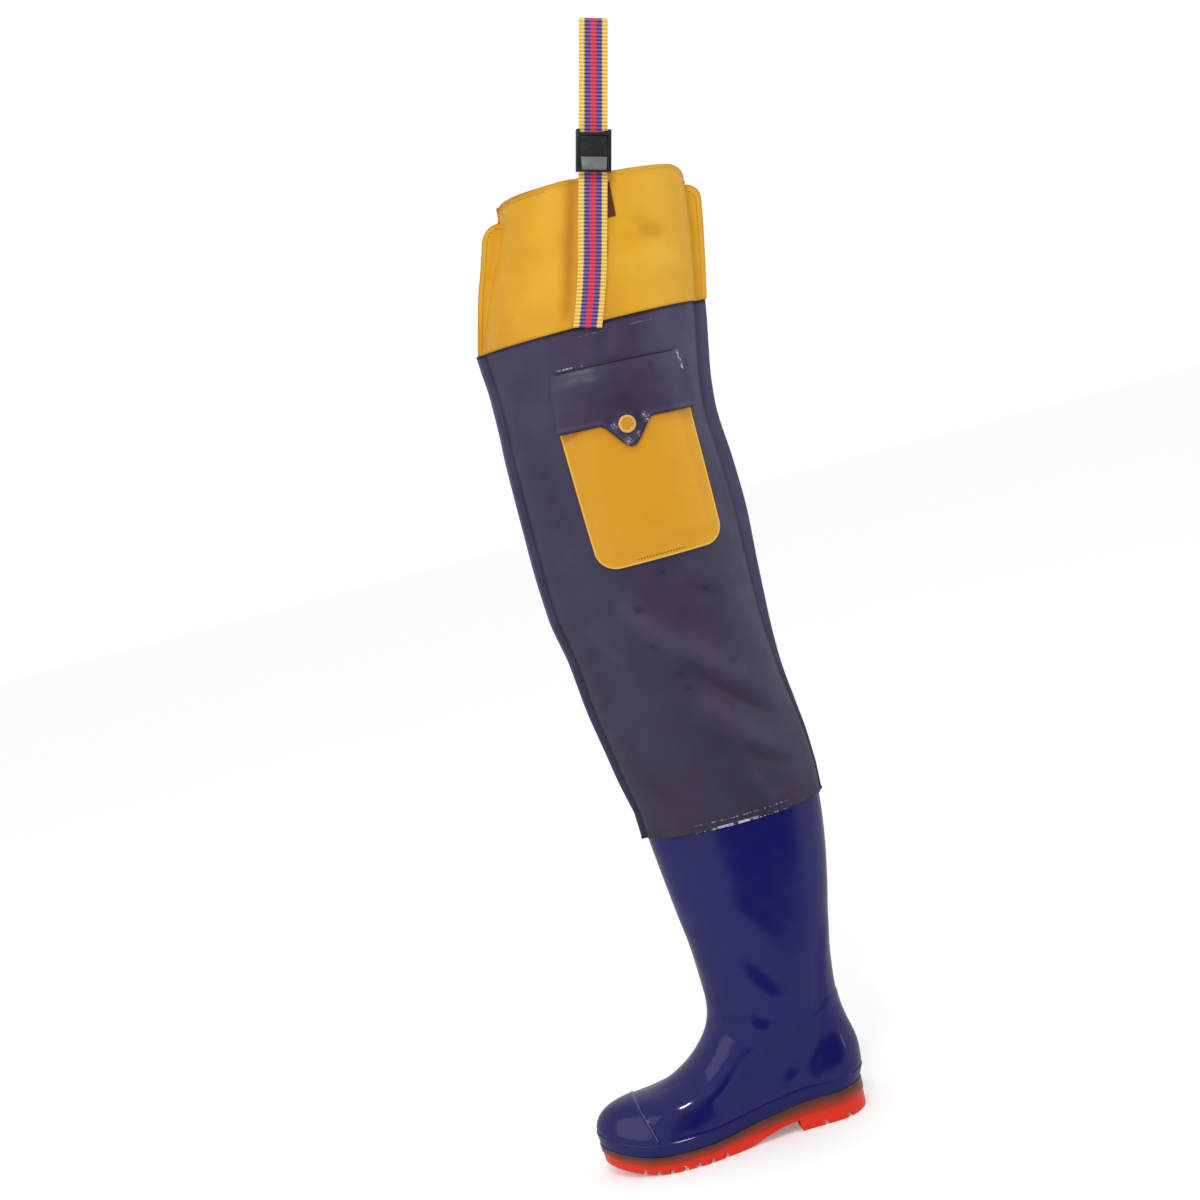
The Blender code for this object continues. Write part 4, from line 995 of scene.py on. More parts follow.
def leg_cloth():
    """The leg's violet grey cloth: a pressed line under the cuff painted pale as its highlight, a
    painted shadow under the cuff's edge, glue, and painted glints along the glue and above the
    flap.
    """
    material, tree, shader, parts, colour, _ = coated_cloth("leg cloth", LEG_COLOURS, (0.36, 0.50))
    place, x, y, z = parts
    glue = attribute(tree, "glue")
    near = sums(tree, "LESS_THAN", y, 0.0)

    # A pressed line under the cuff, painted pale as its broken highlight
    broken = ranged(tree, noise(tree, place, 170.0, 1.0), 0.44, 0.56)
    line = band(tree, z, CUFF_BOTTOM - 0.0096, CUFF_BOTTOM - 0.0090, 0.0003)
    left = band(tree, x, -0.062, -0.034, 0.006)
    right = band(tree, x, -0.012, 0.016, 0.006)
    pressed_line_highlight = times(tree, line, sums(tree, "ADD", left, right), near, broken)
    # Painted shadow under the cuff's bottom edge
    under = band(tree, z, CUFF_BOTTOM - 0.0030, CUFF_BOTTOM + 0.0010, 0.0012)
    colour = painted_over(tree, colour, times(tree, pressed_line_highlight, 0.6), (150, 146, 170))
    colour = painted_over(tree, colour, times(tree, under, 0.75), (40, 22, 34))
    colour = painted_over(tree, colour, glue, (38, 36, 52))

    # Painted glints along the glue, on tack dots above it and above the flap, broken up by noise
    leg_glint_breakup = ranged(tree, noise(tree, place, 420.0, 1.0), 0.50, 0.60)
    dashes = ranged(tree, noise(tree, place, 95.0, 2.0), 0.47, 0.55)
    narrow = times(tree, band(tree, z, LEG_BOTTOM + 0.0005, LEG_BOTTOM + 0.0014, 0.0005), leg_glint_breakup)
    broad = band(tree, z, LEG_BOTTOM + 0.0005, LEG_BOTTOM + 0.0028, 0.0005)
    broad = times(tree, broad, band(tree, x, -0.050, 0.004, 0.014), dashes)
    specks = band(tree, z, LEG_BOTTOM + 0.0076, LEG_BOTTOM + 0.0088, 0.0003)
    glints = largest(tree, largest(tree, narrow, broad), times(tree, specks, leg_glint_breakup, 0.5))
    glints = times(tree, glints, band(tree, x, -0.066, 0.024, 0.010), near)
    level = with_share(tree, z, x, FLAP_FALL)
    above = times(tree, band(tree, level, 0.8050, 0.8062, 0.0004),
                  band(tree, x, -0.090, -0.066, 0.004), near, leg_glint_breakup)
    glints = times(tree, largest(tree, glints, above), 0.85)
    join(tree, painted_over(tree, colour, glints, (204, 200, 232)), shader, "Base Color")

    rough = shader.inputs["Roughness"].links[0].from_socket
    smooth = with_share(tree, 1.0, glue, -0.75)
    join(tree, times(tree, rough, smooth), shader, "Roughness")
    return material


def cuff_cloth():
    """The cuff's yellow cloth with its dotted weld lines, the painted shadow of the pleat beside
    the strap, and a brown band of painted shade below the rim.
    """
    material, tree, shader, parts, colour, normal = coated_cloth(
        "cuff cloth", CUFF_COLOURS, (0.38, 0.50),
    )
    _, x, y, z = parts
    edge = attribute(tree, "edge")
    rim = attribute(tree, "rim")

    up_weld = weld_line(tree, edge, z, 0.0052, WELD_WIDTH, WELD_PITCH)
    rim_weld = weld_line(tree, rim, x, HEM_LINE + 0.0012, WELD_WIDTH, WELD_PITCH)
    corner = sums(tree, "LESS_THAN", x, -0.058)
    marks = largest(tree, up_weld, times(tree, rim_weld, corner))
    colour = painted_over(tree, colour, times(tree, marks, 0.62), (112, 66, 8))

    # Painted shadow in the pleat beside the strap, with a faint part further down
    slope = (PLEAT_SHADOW_LOW_X - PLEAT_SHADOW_HIGH_X) / (PLEAT_SHADOW_HIGH - PLEAT_SHADOW_LOW)
    slant = PLEAT_SHADOW_HIGH * slope
    side = with_share(tree, x, z, slope)
    pleat_shadow = band(tree, side, PLEAT_SHADOW_LIMIT + slant, PLEAT_SHADOW_HIGH_X + slant, 0.0004)
    pleat_shadow = times(tree, pleat_shadow, band(tree, z, PLEAT_SHADOW_LOW, PLEAT_SHADOW_HIGH, 0.0005))
    beside = with_share(tree, x, z, -math.tan(STRAP_LEAN))
    strap_edge = STRAP_X - STRAP_BOTTOM * math.tan(STRAP_LEAN)
    strap_edge += STRAP_WIDTH / 2.0 / math.cos(STRAP_LEAN)
    faint_pleat_shadow = band(tree, beside, strap_edge - 0.010, strap_edge + 0.0016, 0.0006)
    faint_pleat_shadow = times(tree, faint_pleat_shadow, band(tree, z, 0.9035, 0.9200, 0.002), 0.4)
    pleat_shadow = times(tree, largest(tree, pleat_shadow, faint_pleat_shadow), sums(tree, "LESS_THAN", y, 0.0))
    colour = painted_over(tree, colour, pleat_shadow, (96, 46, 20))

    border = band(tree, sums(tree, "MINIMUM", edge, rim), -0.002, 0.0010, 0.0005)
    border = times(tree, border, ranged(tree, x, 0.000, -0.040, 0.22, 0.60))
    colour = painted_over(tree, colour, border, (150, 92, 26))
    # Painted shade: a brown band below the rim, strongest at the front
    hem = band(tree, rim, -0.002, HEM_LINE - 0.0006, 0.0008)
    hem = times(tree, hem, ranged(tree, x, -0.030, -0.080, 0.12, 0.50))
    colour = painted_over(tree, colour, hem, (172, 112, 40))
    join(tree, colour, shader, "Base Color")
    join(tree, bumped(tree, marks, -0.0003, 1.0, normal), shader, "Normal")
    return material


def pocket_cloth():
    """The pocket's yellow cloth, light along its cut edge, with a painted shadow at its very edge
    and its weld line.
    """
    material, tree, shader, parts, colour, normal = coated_cloth(
        "pocket cloth", POCKET_COLOURS, (0.36, 0.48),
    )
    _, x, _, z = parts
    edge = attribute(tree, "edge")
    rim = band(tree, edge, -0.001, 0.0018, 0.0005)
    colour = painted_over(tree, colour, times(tree, rim, 0.5), (244, 206, 106))
    # Painted contact shadow along the pocket's very edge
    outline = band(tree, edge, -0.002, 0.0003, 0.0002)
    colour = painted_over(tree, colour, outline, (96, 50, 22))
    weld = weld_line(tree, edge, x, 0.0046, 0.0014, 0.0030)
    low = ranged(tree, z, POCKET_BOTTOM + 0.009, POCKET_BOTTOM + 0.004)
    marks = times(tree, weld, band(tree, x, -0.062, -0.012, 0.006), low)
    colour = painted_over(tree, colour, times(tree, marks, 0.9), (92, 46, 6))
    join(tree, colour, shader, "Base Color")
    join(tree, bumped(tree, marks, -0.0003, 1.0, normal), shader, "Normal")
    return material


def flap_cloth():
    """The flap's violet grey cloth, with its pressed lines, painted shade along its lower edge and
    painted glints of gloss.
    """
    material, tree, shader, parts, colour, normal = coated_cloth(
        "flap cloth", FLAP_COLOURS, (0.32, 0.44),
    )
    place, x, _, z = parts
    level = with_share(tree, z, sums(tree, "SUBTRACT", x, FLAP_LEFT), FLAP_FALL)
    line = band(tree, level, FLAP_TOP - 0.0022, FLAP_TOP - 0.0008, 0.0005)
    line = times(tree, line, band(tree, x, -0.094, 0.026, 0.004))
    down = band(tree, with_share(tree, x, z, 0.07), 0.0848, 0.0862, 0.0006)
    down = times(tree, down, band(tree, z, 0.780, 0.801, 0.003), 0.6)
    marks = largest(tree, line, down)
    colour = painted_over(tree, colour, marks, (24, 18, 34))
    # Painted shade in dark red-brown along the lower edge
    colour = painted_over(tree, colour, attribute(tree, "hem"), (58, 22, 14))
    # Painted glints beside the right edge's weld and at the listed spots, broken up by noise
    beside = band(tree, with_share(tree, x, z, 0.044), 0.0643, 0.0664, 0.0004)
    beside = times(tree, beside, band(tree, z, 0.7815, 0.8000, 0.0015))
    flap_glint_breakup = ranged(tree, noise(tree, place, 620.0, 2.0), 0.48, 0.58)
    glint = times(tree, largest(tree, beside, attribute(tree, "glint")), flap_glint_breakup, 0.85)
    colour = painted_over(tree, colour, glint, (206, 198, 226))
    join(tree, colour, shader, "Base Color")
    join(tree, bumped(tree, marks, -0.0005, 1.0, normal), shader, "Normal")
    shader.inputs["Coat Weight"].default_value = 0.08
    shader.inputs["Coat Roughness"].default_value = 0.30
    return material


def webbing():
    """Ribbed webbing: yellow edges, violet and blue bands, and a red middle, with painted
    highlights on the ribs' crests and painted shade between them.
    """
    material, tree, shader = new_material("webbing", Roughness=0.75, Sheen_Weight=0.15)
    across = attribute(tree, "across")
    along = attribute(tree, "along")
    fine = noise(tree, object_place(tree), 1400.0, 2.0)
    rib = ranged(tree, sine(tree, along, RIB_PITCH), -0.9, 0.5)
    swap = ranged(tree, sine(tree, along, 2.0 * RIB_PITCH), -0.4, 0.4)
    off = sums(tree, "ABSOLUTE", across)
    # Painted highlight on each rib's crest and painted shade between the ribs
    yellow = painted_over(tree, paint((222, 172, 66)), rib, (252, 222, 112))
    red = painted_over(tree, paint((196, 34, 66)), rib, (238, 58, 84))
    bands = painted_over(tree, paint((134, 98, 176)), swap, (112, 96, 178))
    violet = blend_colours(tree, rib, paint((52, 30, 88)), bands)
    wavy = with_share(tree, off, sums(tree, "SUBTRACT", rib, 0.5), 0.05)
    colour = blend_colours(tree, band(tree, wavy, -1.0, 0.60, 0.022), yellow, violet)
    colour = blend_colours(tree, band(tree, off, -1.0, 0.205, 0.030), colour, red)
    seam = band(tree, off, 0.585, 0.635, 0.012)
    colour = painted_over(tree, colour, times(tree, seam, 0.5), (60, 40, 70))
    shade = times(tree, sums(tree, "SUBTRACT", fine, 0.35), 0.45)
    colour = painted_over(tree, colour, shade, (40, 26, 40))
    join(tree, colour, shader, "Base Color")
    cords = sums(tree, "SINE", times(tree, across, 60.0))
    height = with_share(tree, rib, cords, 0.25)
    join(tree, bumped(tree, sums(tree, "ADD", height, fine), 0.00015), shader, "Normal")
    return material


def plastic(name, srgb, rough, scuff):
    """Moulded plastic with faint handling marks."""
    material, tree, shader = new_material(name, Specular_IOR_Level=0.5)
    place = object_place(tree)
    marks = ranged(tree, noise(tree, place, 160.0, 4.0, 0.6), 0.45, 0.75)
    lighter = tuple(min(255, value + scuff) for value in srgb)
    join(tree, painted_over(tree, paint(srgb), marks, lighter), shader, "Base Color")
    join(tree, ranged(tree, marks, start=rough, end=rough + 0.15), shader, "Roughness")
    join(tree, bumped(tree, noise(tree, place, 900.0, 2.0), 0.00005), shader, "Normal")
    return material


def button_plastic():
    """The snap cap's amber plastic, paler on its rolled rim."""
    material, tree, shader = new_material("button plastic", Roughness=0.3)
    scuffs = noise(tree, object_place(tree), 300.0)
    colour = painted_over(tree, paint((196, 128, 24)), scuffs, (222, 158, 48))
    colour = painted_over(tree, colour, attribute(tree, "rim"), (232, 178, 92))
    join(tree, colour, shader, "Base Color")
    join(tree, bumped(tree, scuffs, 0.0001), shader, "Normal")
    return material


def insole_foam():
    """Dark foam under a knitted cover."""
    material, tree, shader = new_material("insole foam", Roughness=0.9)
    knit = noise(tree, object_place(tree), 520.0)
    join(tree, painted_over(tree, paint((38, 38, 44)), knit, (70, 70, 78)), shader, "Base Color")
    join(tree, bumped(tree, knit, 0.0003), shader, "Normal")
    return material


# Outsole and insole

def past_spring(along):
    """How far this place lies along the toe spring: 0 up to its start, 1 at the toe."""
    return max(0.0, along - TOE_SPRING_START) / (1.0 - TOE_SPRING_START)


def sole_bottom(along):
    """Height of the sole's underside before the arch is cut: flat, then the toe spring."""
    return TOE_SPRING * past_spring(along) ** 2


def sole_top(along):
    """Height of the sole's upper side, heel (0) to toe (1)."""
    return sole_bottom(along) + HEEL_SOLE_HEIGHT * read_table(THICKNESS, "share", along)


def sole_slope(along):
    """Angle at which the sole's underside rises towards the toe."""
    run = (1.0 - TOE_SPRING_START) * SOLE_LENGTH
    return math.atan2(2.0 * TOE_SPRING * past_spring(along), run)


def plan_width(along):
    """Half width of the sole plan as a share of its half width at the ball, with round ends."""
    from_toe = 1.0 - along
    heel = math.sqrt(1.0 - (1.0 - min(along / HEEL_ROUND, 1.0)) ** 2)
    toe = math.sqrt(1.0 - (1.0 - min(from_toe / TOE_ROUND, 1.0)) ** 2)
    return 2.0 * read_table(PLAN, "half", along) * heel * toe


def plan_shift(along):
    """Sideways shift of the sole plan as a share of its half width at the ball."""
    return 2.0 * read_table(PLAN, "centre", along)


def plan_ring(inset, height, columns, reach=1.0):
    """A ring on the sole plan, drawn in by inset, at the height that the function gives."""
    back = HEEL_SETBACK - inset
    front = HEEL_SETBACK - SOLE_LENGTH + inset
    half = BALL_WIDTH / 2.0 - inset
    points = []
    for angle in ring_angles(columns):
        along = (1.0 - math.cos(angle)) / 2.0
        side = -1.0 if angle <= math.pi else 1.0
        y = half * (plan_shift(along) + side * reach * plan_width(along))
        points.append(Vector((lerp(back, front, along), y, height(along))))
    return points


def sole_share(point):
    """How far along the sole a point lies, heel (0) to toe (1)."""
    return clamp((HEEL_SETBACK - point.x) / SOLE_LENGTH)


def arch_cutter():
    """The space under the arch, from the heel's breast to the forefoot."""
    breast = HEEL_SETBACK - HEEL_SEAT_LENGTH
    line = [(breast, -LUG_DEPTH)]
    for i in range(ARCH_FACETS + 1):
        share = i / ARCH_FACETS
        rise = ARCH_RISE * math.cos(share * math.pi / 2.0) ** ARCH_CURVE
        line.append((breast - LUG_DEPTH / 2.0 - ARCH_LENGTH * share, rise))
    line.append((line[-1][0] - CHANNEL_WIDTH, -LUG_DEPTH))
    bm = bmesh.new()
    verts = [bm.verts.new((x, -BALL_WIDTH, z)) for x, z in line]
    face = bm.faces.new(verts)
    pushed = bmesh.ops.extrude_face_region(bm, geom=[face])["geom"]
    moved = [part for part in pushed if isinstance(part, bmesh.types.BMVert)]
    bmesh.ops.translate(bm, verts=moved, vec=(0.0, 2.0 * BALL_WIDTH, 0.0))
    return hidden_cutter(bm, "arch space")


def channel_cutter():
    """All the tread's channels in one mesh, as tapered bars laid in chevrons."""
    places = []
    for i in range(HEEL_CHANNELS):
        share = (i + 1) / (HEEL_CHANNELS + 1)
        places.append((HEEL_SETBACK - HEEL_SEAT_LENGTH * share, 0.0))
    first = HEEL_SETBACK - HEEL_SEAT_LENGTH - ARCH_LENGTH - FOREFOOT_PITCH
    for i in range(FOREFOOT_CHANNELS):
        places.append((first - FOREFOOT_PITCH * i, CHEVRON_ANGLE))
    bm = bmesh.new()
    for x, half_angle in places:
        along = (HEEL_SETBACK - x) / SOLE_LENGTH
        for side in (-1.0, 1.0):
            made = bmesh.ops.create_cube(bm, size=1.0)["verts"]
            size = Matrix.Diagonal((CHANNEL_WIDTH, BALL_WIDTH, 2.0 * LUG_DEPTH, 1.0))
            bmesh.ops.transform(bm, matrix=size, verts=made)
            for vert in made:
                if vert.co.z > 0.0:
                    vert.co.x *= CHANNEL_TAPER
                vert.co.y += side * (BALL_WIDTH / 2.0 - CHANNEL_WIDTH / 4.0)
            turn = Matrix.Rotation(side * half_angle, 4, "Z")
            lean = Matrix.Rotation(sole_slope(along), 4, "Y")
            place = Matrix.Translation((x, 0.0, sole_bottom(along)))
            bmesh.ops.transform(bm, matrix=place @ lean @ turn, verts=made)
    return hidden_cutter(bm, "tread channels")


def make_outsole(material):
    """The outsole: stepped and rounded sides, arch, heel, toe spring and channels."""
    rings = [plan_ring(SOLE_STEPS[0].inset * SOLE_EDGE_STEP, sole_bottom, SOLE_COLUMNS, reach)
             for reach in (0.0, 0.35, 0.7)]
    for step in SOLE_STEPS:
        def height(along, rise=step.rise):
            return lerp(sole_bottom(along), sole_top(along), rise)
        rings.append(plan_ring(step.inset * SOLE_EDGE_STEP, height, SOLE_COLUMNS))
    rings += [plan_ring(SOLE_STEPS[-1].inset * SOLE_EDGE_STEP, sole_top, SOLE_COLUMNS, reach)
              for reach in (0.7, 0.35, 0.0)]
    bm = bmesh.new()
    lay_rings(bm, rings)
    bmesh.ops.remove_doubles(bm, verts=bm.verts, dist=1e-5)
    bmesh.ops.dissolve_degenerate(bm, edges=bm.edges, dist=1e-6)
    bmesh.ops.recalc_face_normals(bm, faces=bm.faces)

    def rise(point):
        along = sole_share(point)
        return clamp((point.z - sole_bottom(along)) / (sole_top(along) - sole_bottom(along)))

    sole = finish_piece(bm, "sole_tread", material, "outsole")
    channels = channel_cutter()
    cut_away(sole, [arch_cutter(), channels], crossing=[channels])
    write_attribute(sole.data, "rise", rise)
    soften_edges(sole, MOULDED_ROUND, 40.0)


def make_insole(material):
    """The insole on the sole inside the upper."""
    inset = SOLE_LEDGE + BOOT_WALL + INSOLE_PLAY
    low = GAP
    high = GAP + INSOLE_THICKNESS
    turned = INSOLE_EDGE
    rings = []
    for lift, pull, reach in (
        (low, 0.0, 0.0), (low, 0.0, 0.5), (low, 0.0, 1.0), (high - turned, 0.0, 1.0),
        (high, turned, 1.0), (high, turned, 0.5), (high, turned, 0.0),
    ):
        def height(along, rise=lift):
            return sole_top(along) + rise
        rings.append(plan_ring(inset + pull, height, BOOT_COLUMNS // 2, reach))
    bm = bmesh.new()
    lay_rings(bm, rings)
    bmesh.ops.remove_doubles(bm, verts=bm.verts, dist=1e-5)
    bmesh.ops.recalc_face_normals(bm, faces=bm.faces)
    finish_piece(bm, "foam_insole", material, "insole")


# Boot upper

def foot_ring(row, grow=0.0):
    """One ring of the foot, on a plane through its front and back points."""
    toe = SOLE_LENGTH - HEEL_SETBACK - SOLE_LEDGE
    front = -lerp(THROAT_FRONT, toe, row.front) - grow
    back = HEEL_SETBACK * row.back - SOLE_LEDGE + grow
    low = THROAT_HEIGHT * row.heel_rise
    high = THROAT_HEIGHT * row.rise
    half = BALL_WIDTH * row.half + grow
    points = []
    for angle in ring_angles(BOOT_COLUMNS):
        along = (1.0 - math.cos(angle)) / 2.0
        side = -1.0 if angle <= math.pi else 1.0
        foot = plan_shift(along) + side * plan_width(along)
        oval = side * abs(math.sin(angle))
        sideways = lerp(oval, foot, row.foot)
        sole = sole_top(along) - lerp(sole_top(0.0), sole_top(1.0), along)
        z = lerp(low, high, along) + row.follow * sole
        z -= THROAT_HEIGHT * row.crown * min(1.0, sideways * sideways)
        points.append(Vector((lerp(back, front, along), half * sideways, z)))
    return points


def boot_oval(height, grow=0.0):
    """Front, back and half width of the boot's shaft at a height above the throat."""
    rise = (height - THROAT_HEIGHT) / (BOOT_TOP_HEIGHT - THROAT_HEIGHT)
    front = lerp(THROAT_FRONT, BOOT_TOP_FRONT, read_table(SHAFT_RINGS, "front", rise))
    back = lerp(THROAT_BACK, BOOT_TOP_BACK, read_table(SHAFT_RINGS, "back", rise))
    half = lerp(ANKLE_HALF_WIDTH, BOOT_TOP_HALF_WIDTH, read_table(SHAFT_RINGS, "half", rise))
    return -front - grow, back + grow, half + grow


def oval_point(outline, angle, height):
    """A point on a level oval of the given front, back and half width."""
    front, back, half = outline
    middle = (front + back) / 2.0
    reach = (back - front) / 2.0
    return Vector((middle + reach * math.cos(angle), -half * math.sin(angle), height))


def shaft_ring(row):
    """One ring of the shaft; those near the throat still tilt a little."""
    height = lerp(THROAT_HEIGHT, BOOT_TOP_HEIGHT, row.rise)
    outline = boot_oval(height)
    front, back, _ = outline
    tilt = THROAT_TILT * max(0.0, 1.0 - row.rise / TILT_END) ** TILT_CURVE
    ring = [oval_point(outline, angle, height) for angle in ring_angles(BOOT_COLUMNS)]
    for point in ring:
        point.z += tilt * (point.x - front) / (back - front)
    return ring


def rand_ring(rise, out):
    """A ring of the rand, between the feather edge and the rand's top, at an even height."""
    low = plan_ring(SOLE_LEDGE - out * RELIEF, lambda along: 0.0, BOOT_COLUMNS)
    high = foot_ring(FOOT_RINGS[0], out * RELIEF)
    ring = []
    for under, over in zip(low, high):
        point = lerp(under, over, clamp(rise))
        point.z = sole_top(sole_share(point)) + GAP + rise * RAND_HEIGHT
        ring.append(point)
    return ring


def behind_planes(point, planes, ramp):
    """How far behind every plane a point lies, as a share of the ramp, from 0 to 1."""
    share = 1.0
    for spot, normal in planes:
        share *= smooth_step(-(point - spot).dot(normal) / ramp)
    return share


def toe_cap_plane():
    """The toe cap lies in front of this slanted plane."""
    edge = HEEL_SETBACK - SOLE_LENGTH + TOE_CAP_LENGTH
    normal = Vector((math.cos(TOE_CAP_SLANT), 0.0, math.sin(TOE_CAP_SLANT)))
    return Vector((edge, 0.0, sole_top(1.0))), normal


def counter_planes():
    """The heel counter lies behind a slanted plane and under a level one."""
    edge = HEEL_SETBACK - COUNTER_LENGTH
    slanted = Vector((-math.cos(COUNTER_SLANT), 0.0, math.sin(COUNTER_SLANT)))
    return [
        (Vector((edge, 0.0, HEEL_SOLE_HEIGHT)), slanted),
        (Vector((0.0, 0.0, COUNTER_HEIGHT)), Vector((0.0, 0.0, 1.0))),
    ]


def make_boot(material):
    """The moulded upper: rand, toe cap with its ridge, counter, ankle creases, one wall."""
    rings = [rand_ring(step.rise, step.out) for step in RAND_STEPS]
    body = [rings.pop()]
    body += [foot_ring(row) for row in FOOT_RINGS[1:]]
    body += [shaft_ring(row) for row in SHAFT_RINGS]
    body = spline_rings(body)
    eased = sum(1 for ring in body if ring[0].z < EASED_HEIGHT)
    rings += eased_columns(body[:eased], EASED_ROUNDS) + body[eased:]
    bm = bmesh.new()
    lay_rings(bm, rings)
    face_outward(bm)
    loose = [
        v for v in bm.verts
        if sole_top(sole_share(v.co)) + RAND_HEIGHT + LOOSE_ABOVE < v.co.z < EASED_HEIGHT + 0.02
    ]
    relax(bm, loose, LOOSE_ROUNDS)
    for reach in WAIST_REACHES:
        waist = []
        for v in loose:
            off = math.hypot(v.co.x - WAIST_X, WAIST_SQUASH * (v.co.z - WAIST_Z))
            if abs(v.co.y) > 0.012 and off < reach:
                waist.append(v)
        relax(bm, waist, WAIST_ROUNDS)
    spot, normal = toe_cap_plane()
    for offset in CAP_CUTS:
        geometry = bm.verts[:] + bm.edges[:] + bm.faces[:]
        bmesh.ops.bisect_plane(
            bm, geom=geometry, dist=0.0002, plane_co=spot + normal * offset, plane_no=normal,
        )
    bm.normal_update()
    moves = []
    for vert in bm.verts:
        point = vert.co
        over = point.z - sole_top(sole_share(point)) - RAND_HEIGHT * RAND_STEPS[-1].rise
        free = smooth_step(over / LOOSE_ABOVE)
        across = (point - spot).dot(normal)
        lift = RELIEF * smooth_step(-across / CAP_STEP_WIDTH)
        lift += CAP_BEAD * hump(across + CAP_BEAD_SETBACK, CAP_BEAD_WIDTH)
        lift += RELIEF * behind_planes(point, counter_planes(), COUNTER_RAMP)
        side = math.copysign(1.0, point.y)
        round_side = smooth_step(abs(point.y) / 0.018)
        lift += fold_height(BOOT_FOLDS, point.x, point.z, side) * round_side
        moves.append((vert, vert.normal * lift * free))
    for vert, move in moves:
        vert.co += move
    boot = finish_piece(bm, "boot_upper", material, "boot", smooth=80.0)
    add_wall(boot, BOOT_WALL)
    soften_edges(boot, MOULDED_ROUND, SHARP_ANGLE)


# Fabric leg and cuff

def limb_outline(height):
    """Front, back and half depth of the leg's outer face at a height, from lap to cuff top."""
    cover = GAP + LEG_WALL
    if height <= BOOT_TOP_HEIGHT:
        return boot_oval(height, cover)
    front, back, half = boot_oval(BOOT_TOP_HEIGHT, cover)
    rise = (height - BOOT_TOP_HEIGHT) / (CUFF_BOTTOM - BOOT_TOP_HEIGHT)
    front -= FRONT_GAIN * read_table(LIMB, "front", rise)
    back -= BACK_HOLLOW * read_table(LIMB, "hollow", rise) + BACK_TAPER * min(rise, 1.0)
    half += LEG_HALF_DEPTH_GAIN * read_table(LIMB, "depth", rise)
    up = (height - CUFF_BOTTOM) / (CUFF_TOP - CUFF_BOTTOM)
    front += CUFF_FRONT_LEAN * read_table(CUFF_ROWS, "front", up)
    back += CUFF_BACK_LEAN * read_table(CUFF_ROWS, "back", up)
    half += CUFF_DEPTH_GAIN * read_table(CUFF_ROWS, "depth", up)
    return front, back, half


def grown(outline, by):
    """An outline made larger all round."""
    front, back, half = outline
    return front - by, back + by, half + by


def seamed_ring(outline, height, seam_front, seam_back):
    """A level ring with a flat seam flange that stands out at its front and its back."""
    front, back, _ = outline
    edge = SEAM_THICKNESS / 2.0
    half_count = LEG_COLUMNS // 2
    shape = [(share, edge * thin) for share, thin in FLANGE_SHAPE]
    shape += [(share, -edge * thin) for share, thin in reversed(FLANGE_SHAPE)]
    ring = [Vector((back + seam_back * share, y, height)) for share, y in shape]
    for i in range(1, half_count):
        ring.append(oval_point(outline, math.pi * i / half_count, height))
    ring += [Vector((front - seam_front * share, -y, height)) for share, y in shape]
    for i in range(1, half_count):
        ring.append(oval_point(outline, math.pi + math.pi * i / half_count, height))
    return ring


def beside_seam(y):
    """0 on the seam flanges, easing to 1 on the tube's sides."""
    return smooth_step((abs(y) - SEAM_THICKNESS) / SEAM_FADE)


def leg_seams(height):
    """Widths of the leg's two seam flanges at a height."""
    rise = (height - BOOT_TOP_HEIGHT) / (CUFF_BOTTOM - BOOT_TOP_HEIGHT)
    front = SEAM_FRONT * read_table(LIMB, "seam_front", rise)
    return front, SEAM_BACK * read_table(LIMB, "seam_back", rise)


def leg_lift(x, z, side):
    """Folds and press marks on the leg, faded out towards the boot and the cuff."""
    lift = fold_height(LEG_FOLDS, x, z, side)
    if side < 0.0:
        lift -= MARK_DEPTH * spot_sum(MARKS, x, z)
    fade = smooth_step((CUFF_BOTTOM - 0.006 - z) / FOLD_FADE)
    return lift * fade * smooth_step((z - BOOT_TOP_HEIGHT) / FOLD_FADE)


def leg_shading(point):
    """Painted shading: darker low and in troughs, lighter on ridges and high at the back, painted
    highlights in a band along the back edge, on the flanges and along the front seam, and painted
    shade in the press marks.
    """
    x, y, z = point
    front, back, _ = limb_outline(clamp(z, 0.0, CUFF_TOP))
    across = clamp((x - front) / (back - front))
    tone_and_shading = 0.44 + 0.10 * smooth_step((z - 0.45) / 0.40) + 0.10 * smooth_step((across - 0.45) / 0.5)
    tone_and_shading += 0.06 * hump(x - back + 0.014, 0.010) * smooth_step((z - 0.36) / 0.1)
    # Painted light on the seam flanges, and a painted highlight along the front seam's outer edge
    tone_and_shading += 0.22 * max(smooth_step((front - x) / 0.0015), smooth_step((x - back) / 0.0015))
    outer_seam = front - 0.70 * leg_seams(z)[0]
    tone_and_shading += 0.36 * smooth_step((outer_seam - x) / 0.001) * smooth_step((z - 0.48) / 0.08)
    tone_and_shading -= 0.04 * smooth_step((0.46 - z) / 0.10) + 0.12 * smooth_step((0.354 - z) / 0.022)
    if y < 0.0:
        tone_and_shading += FOLD_SHADING * fold_height(LEG_FOLDS, x, z, -1.0)
        tone_and_shading -= MARK_SHADE * spot_sum(MARKS, x, z)
    return clamp(tone_and_shading)


def leg_glue(point):
    """Where the glossy bead of glue runs along the leg's lower edge."""
    return smooth_step((LEG_BOTTOM + GLUE_HEIGHT - point.z) / 0.0015)


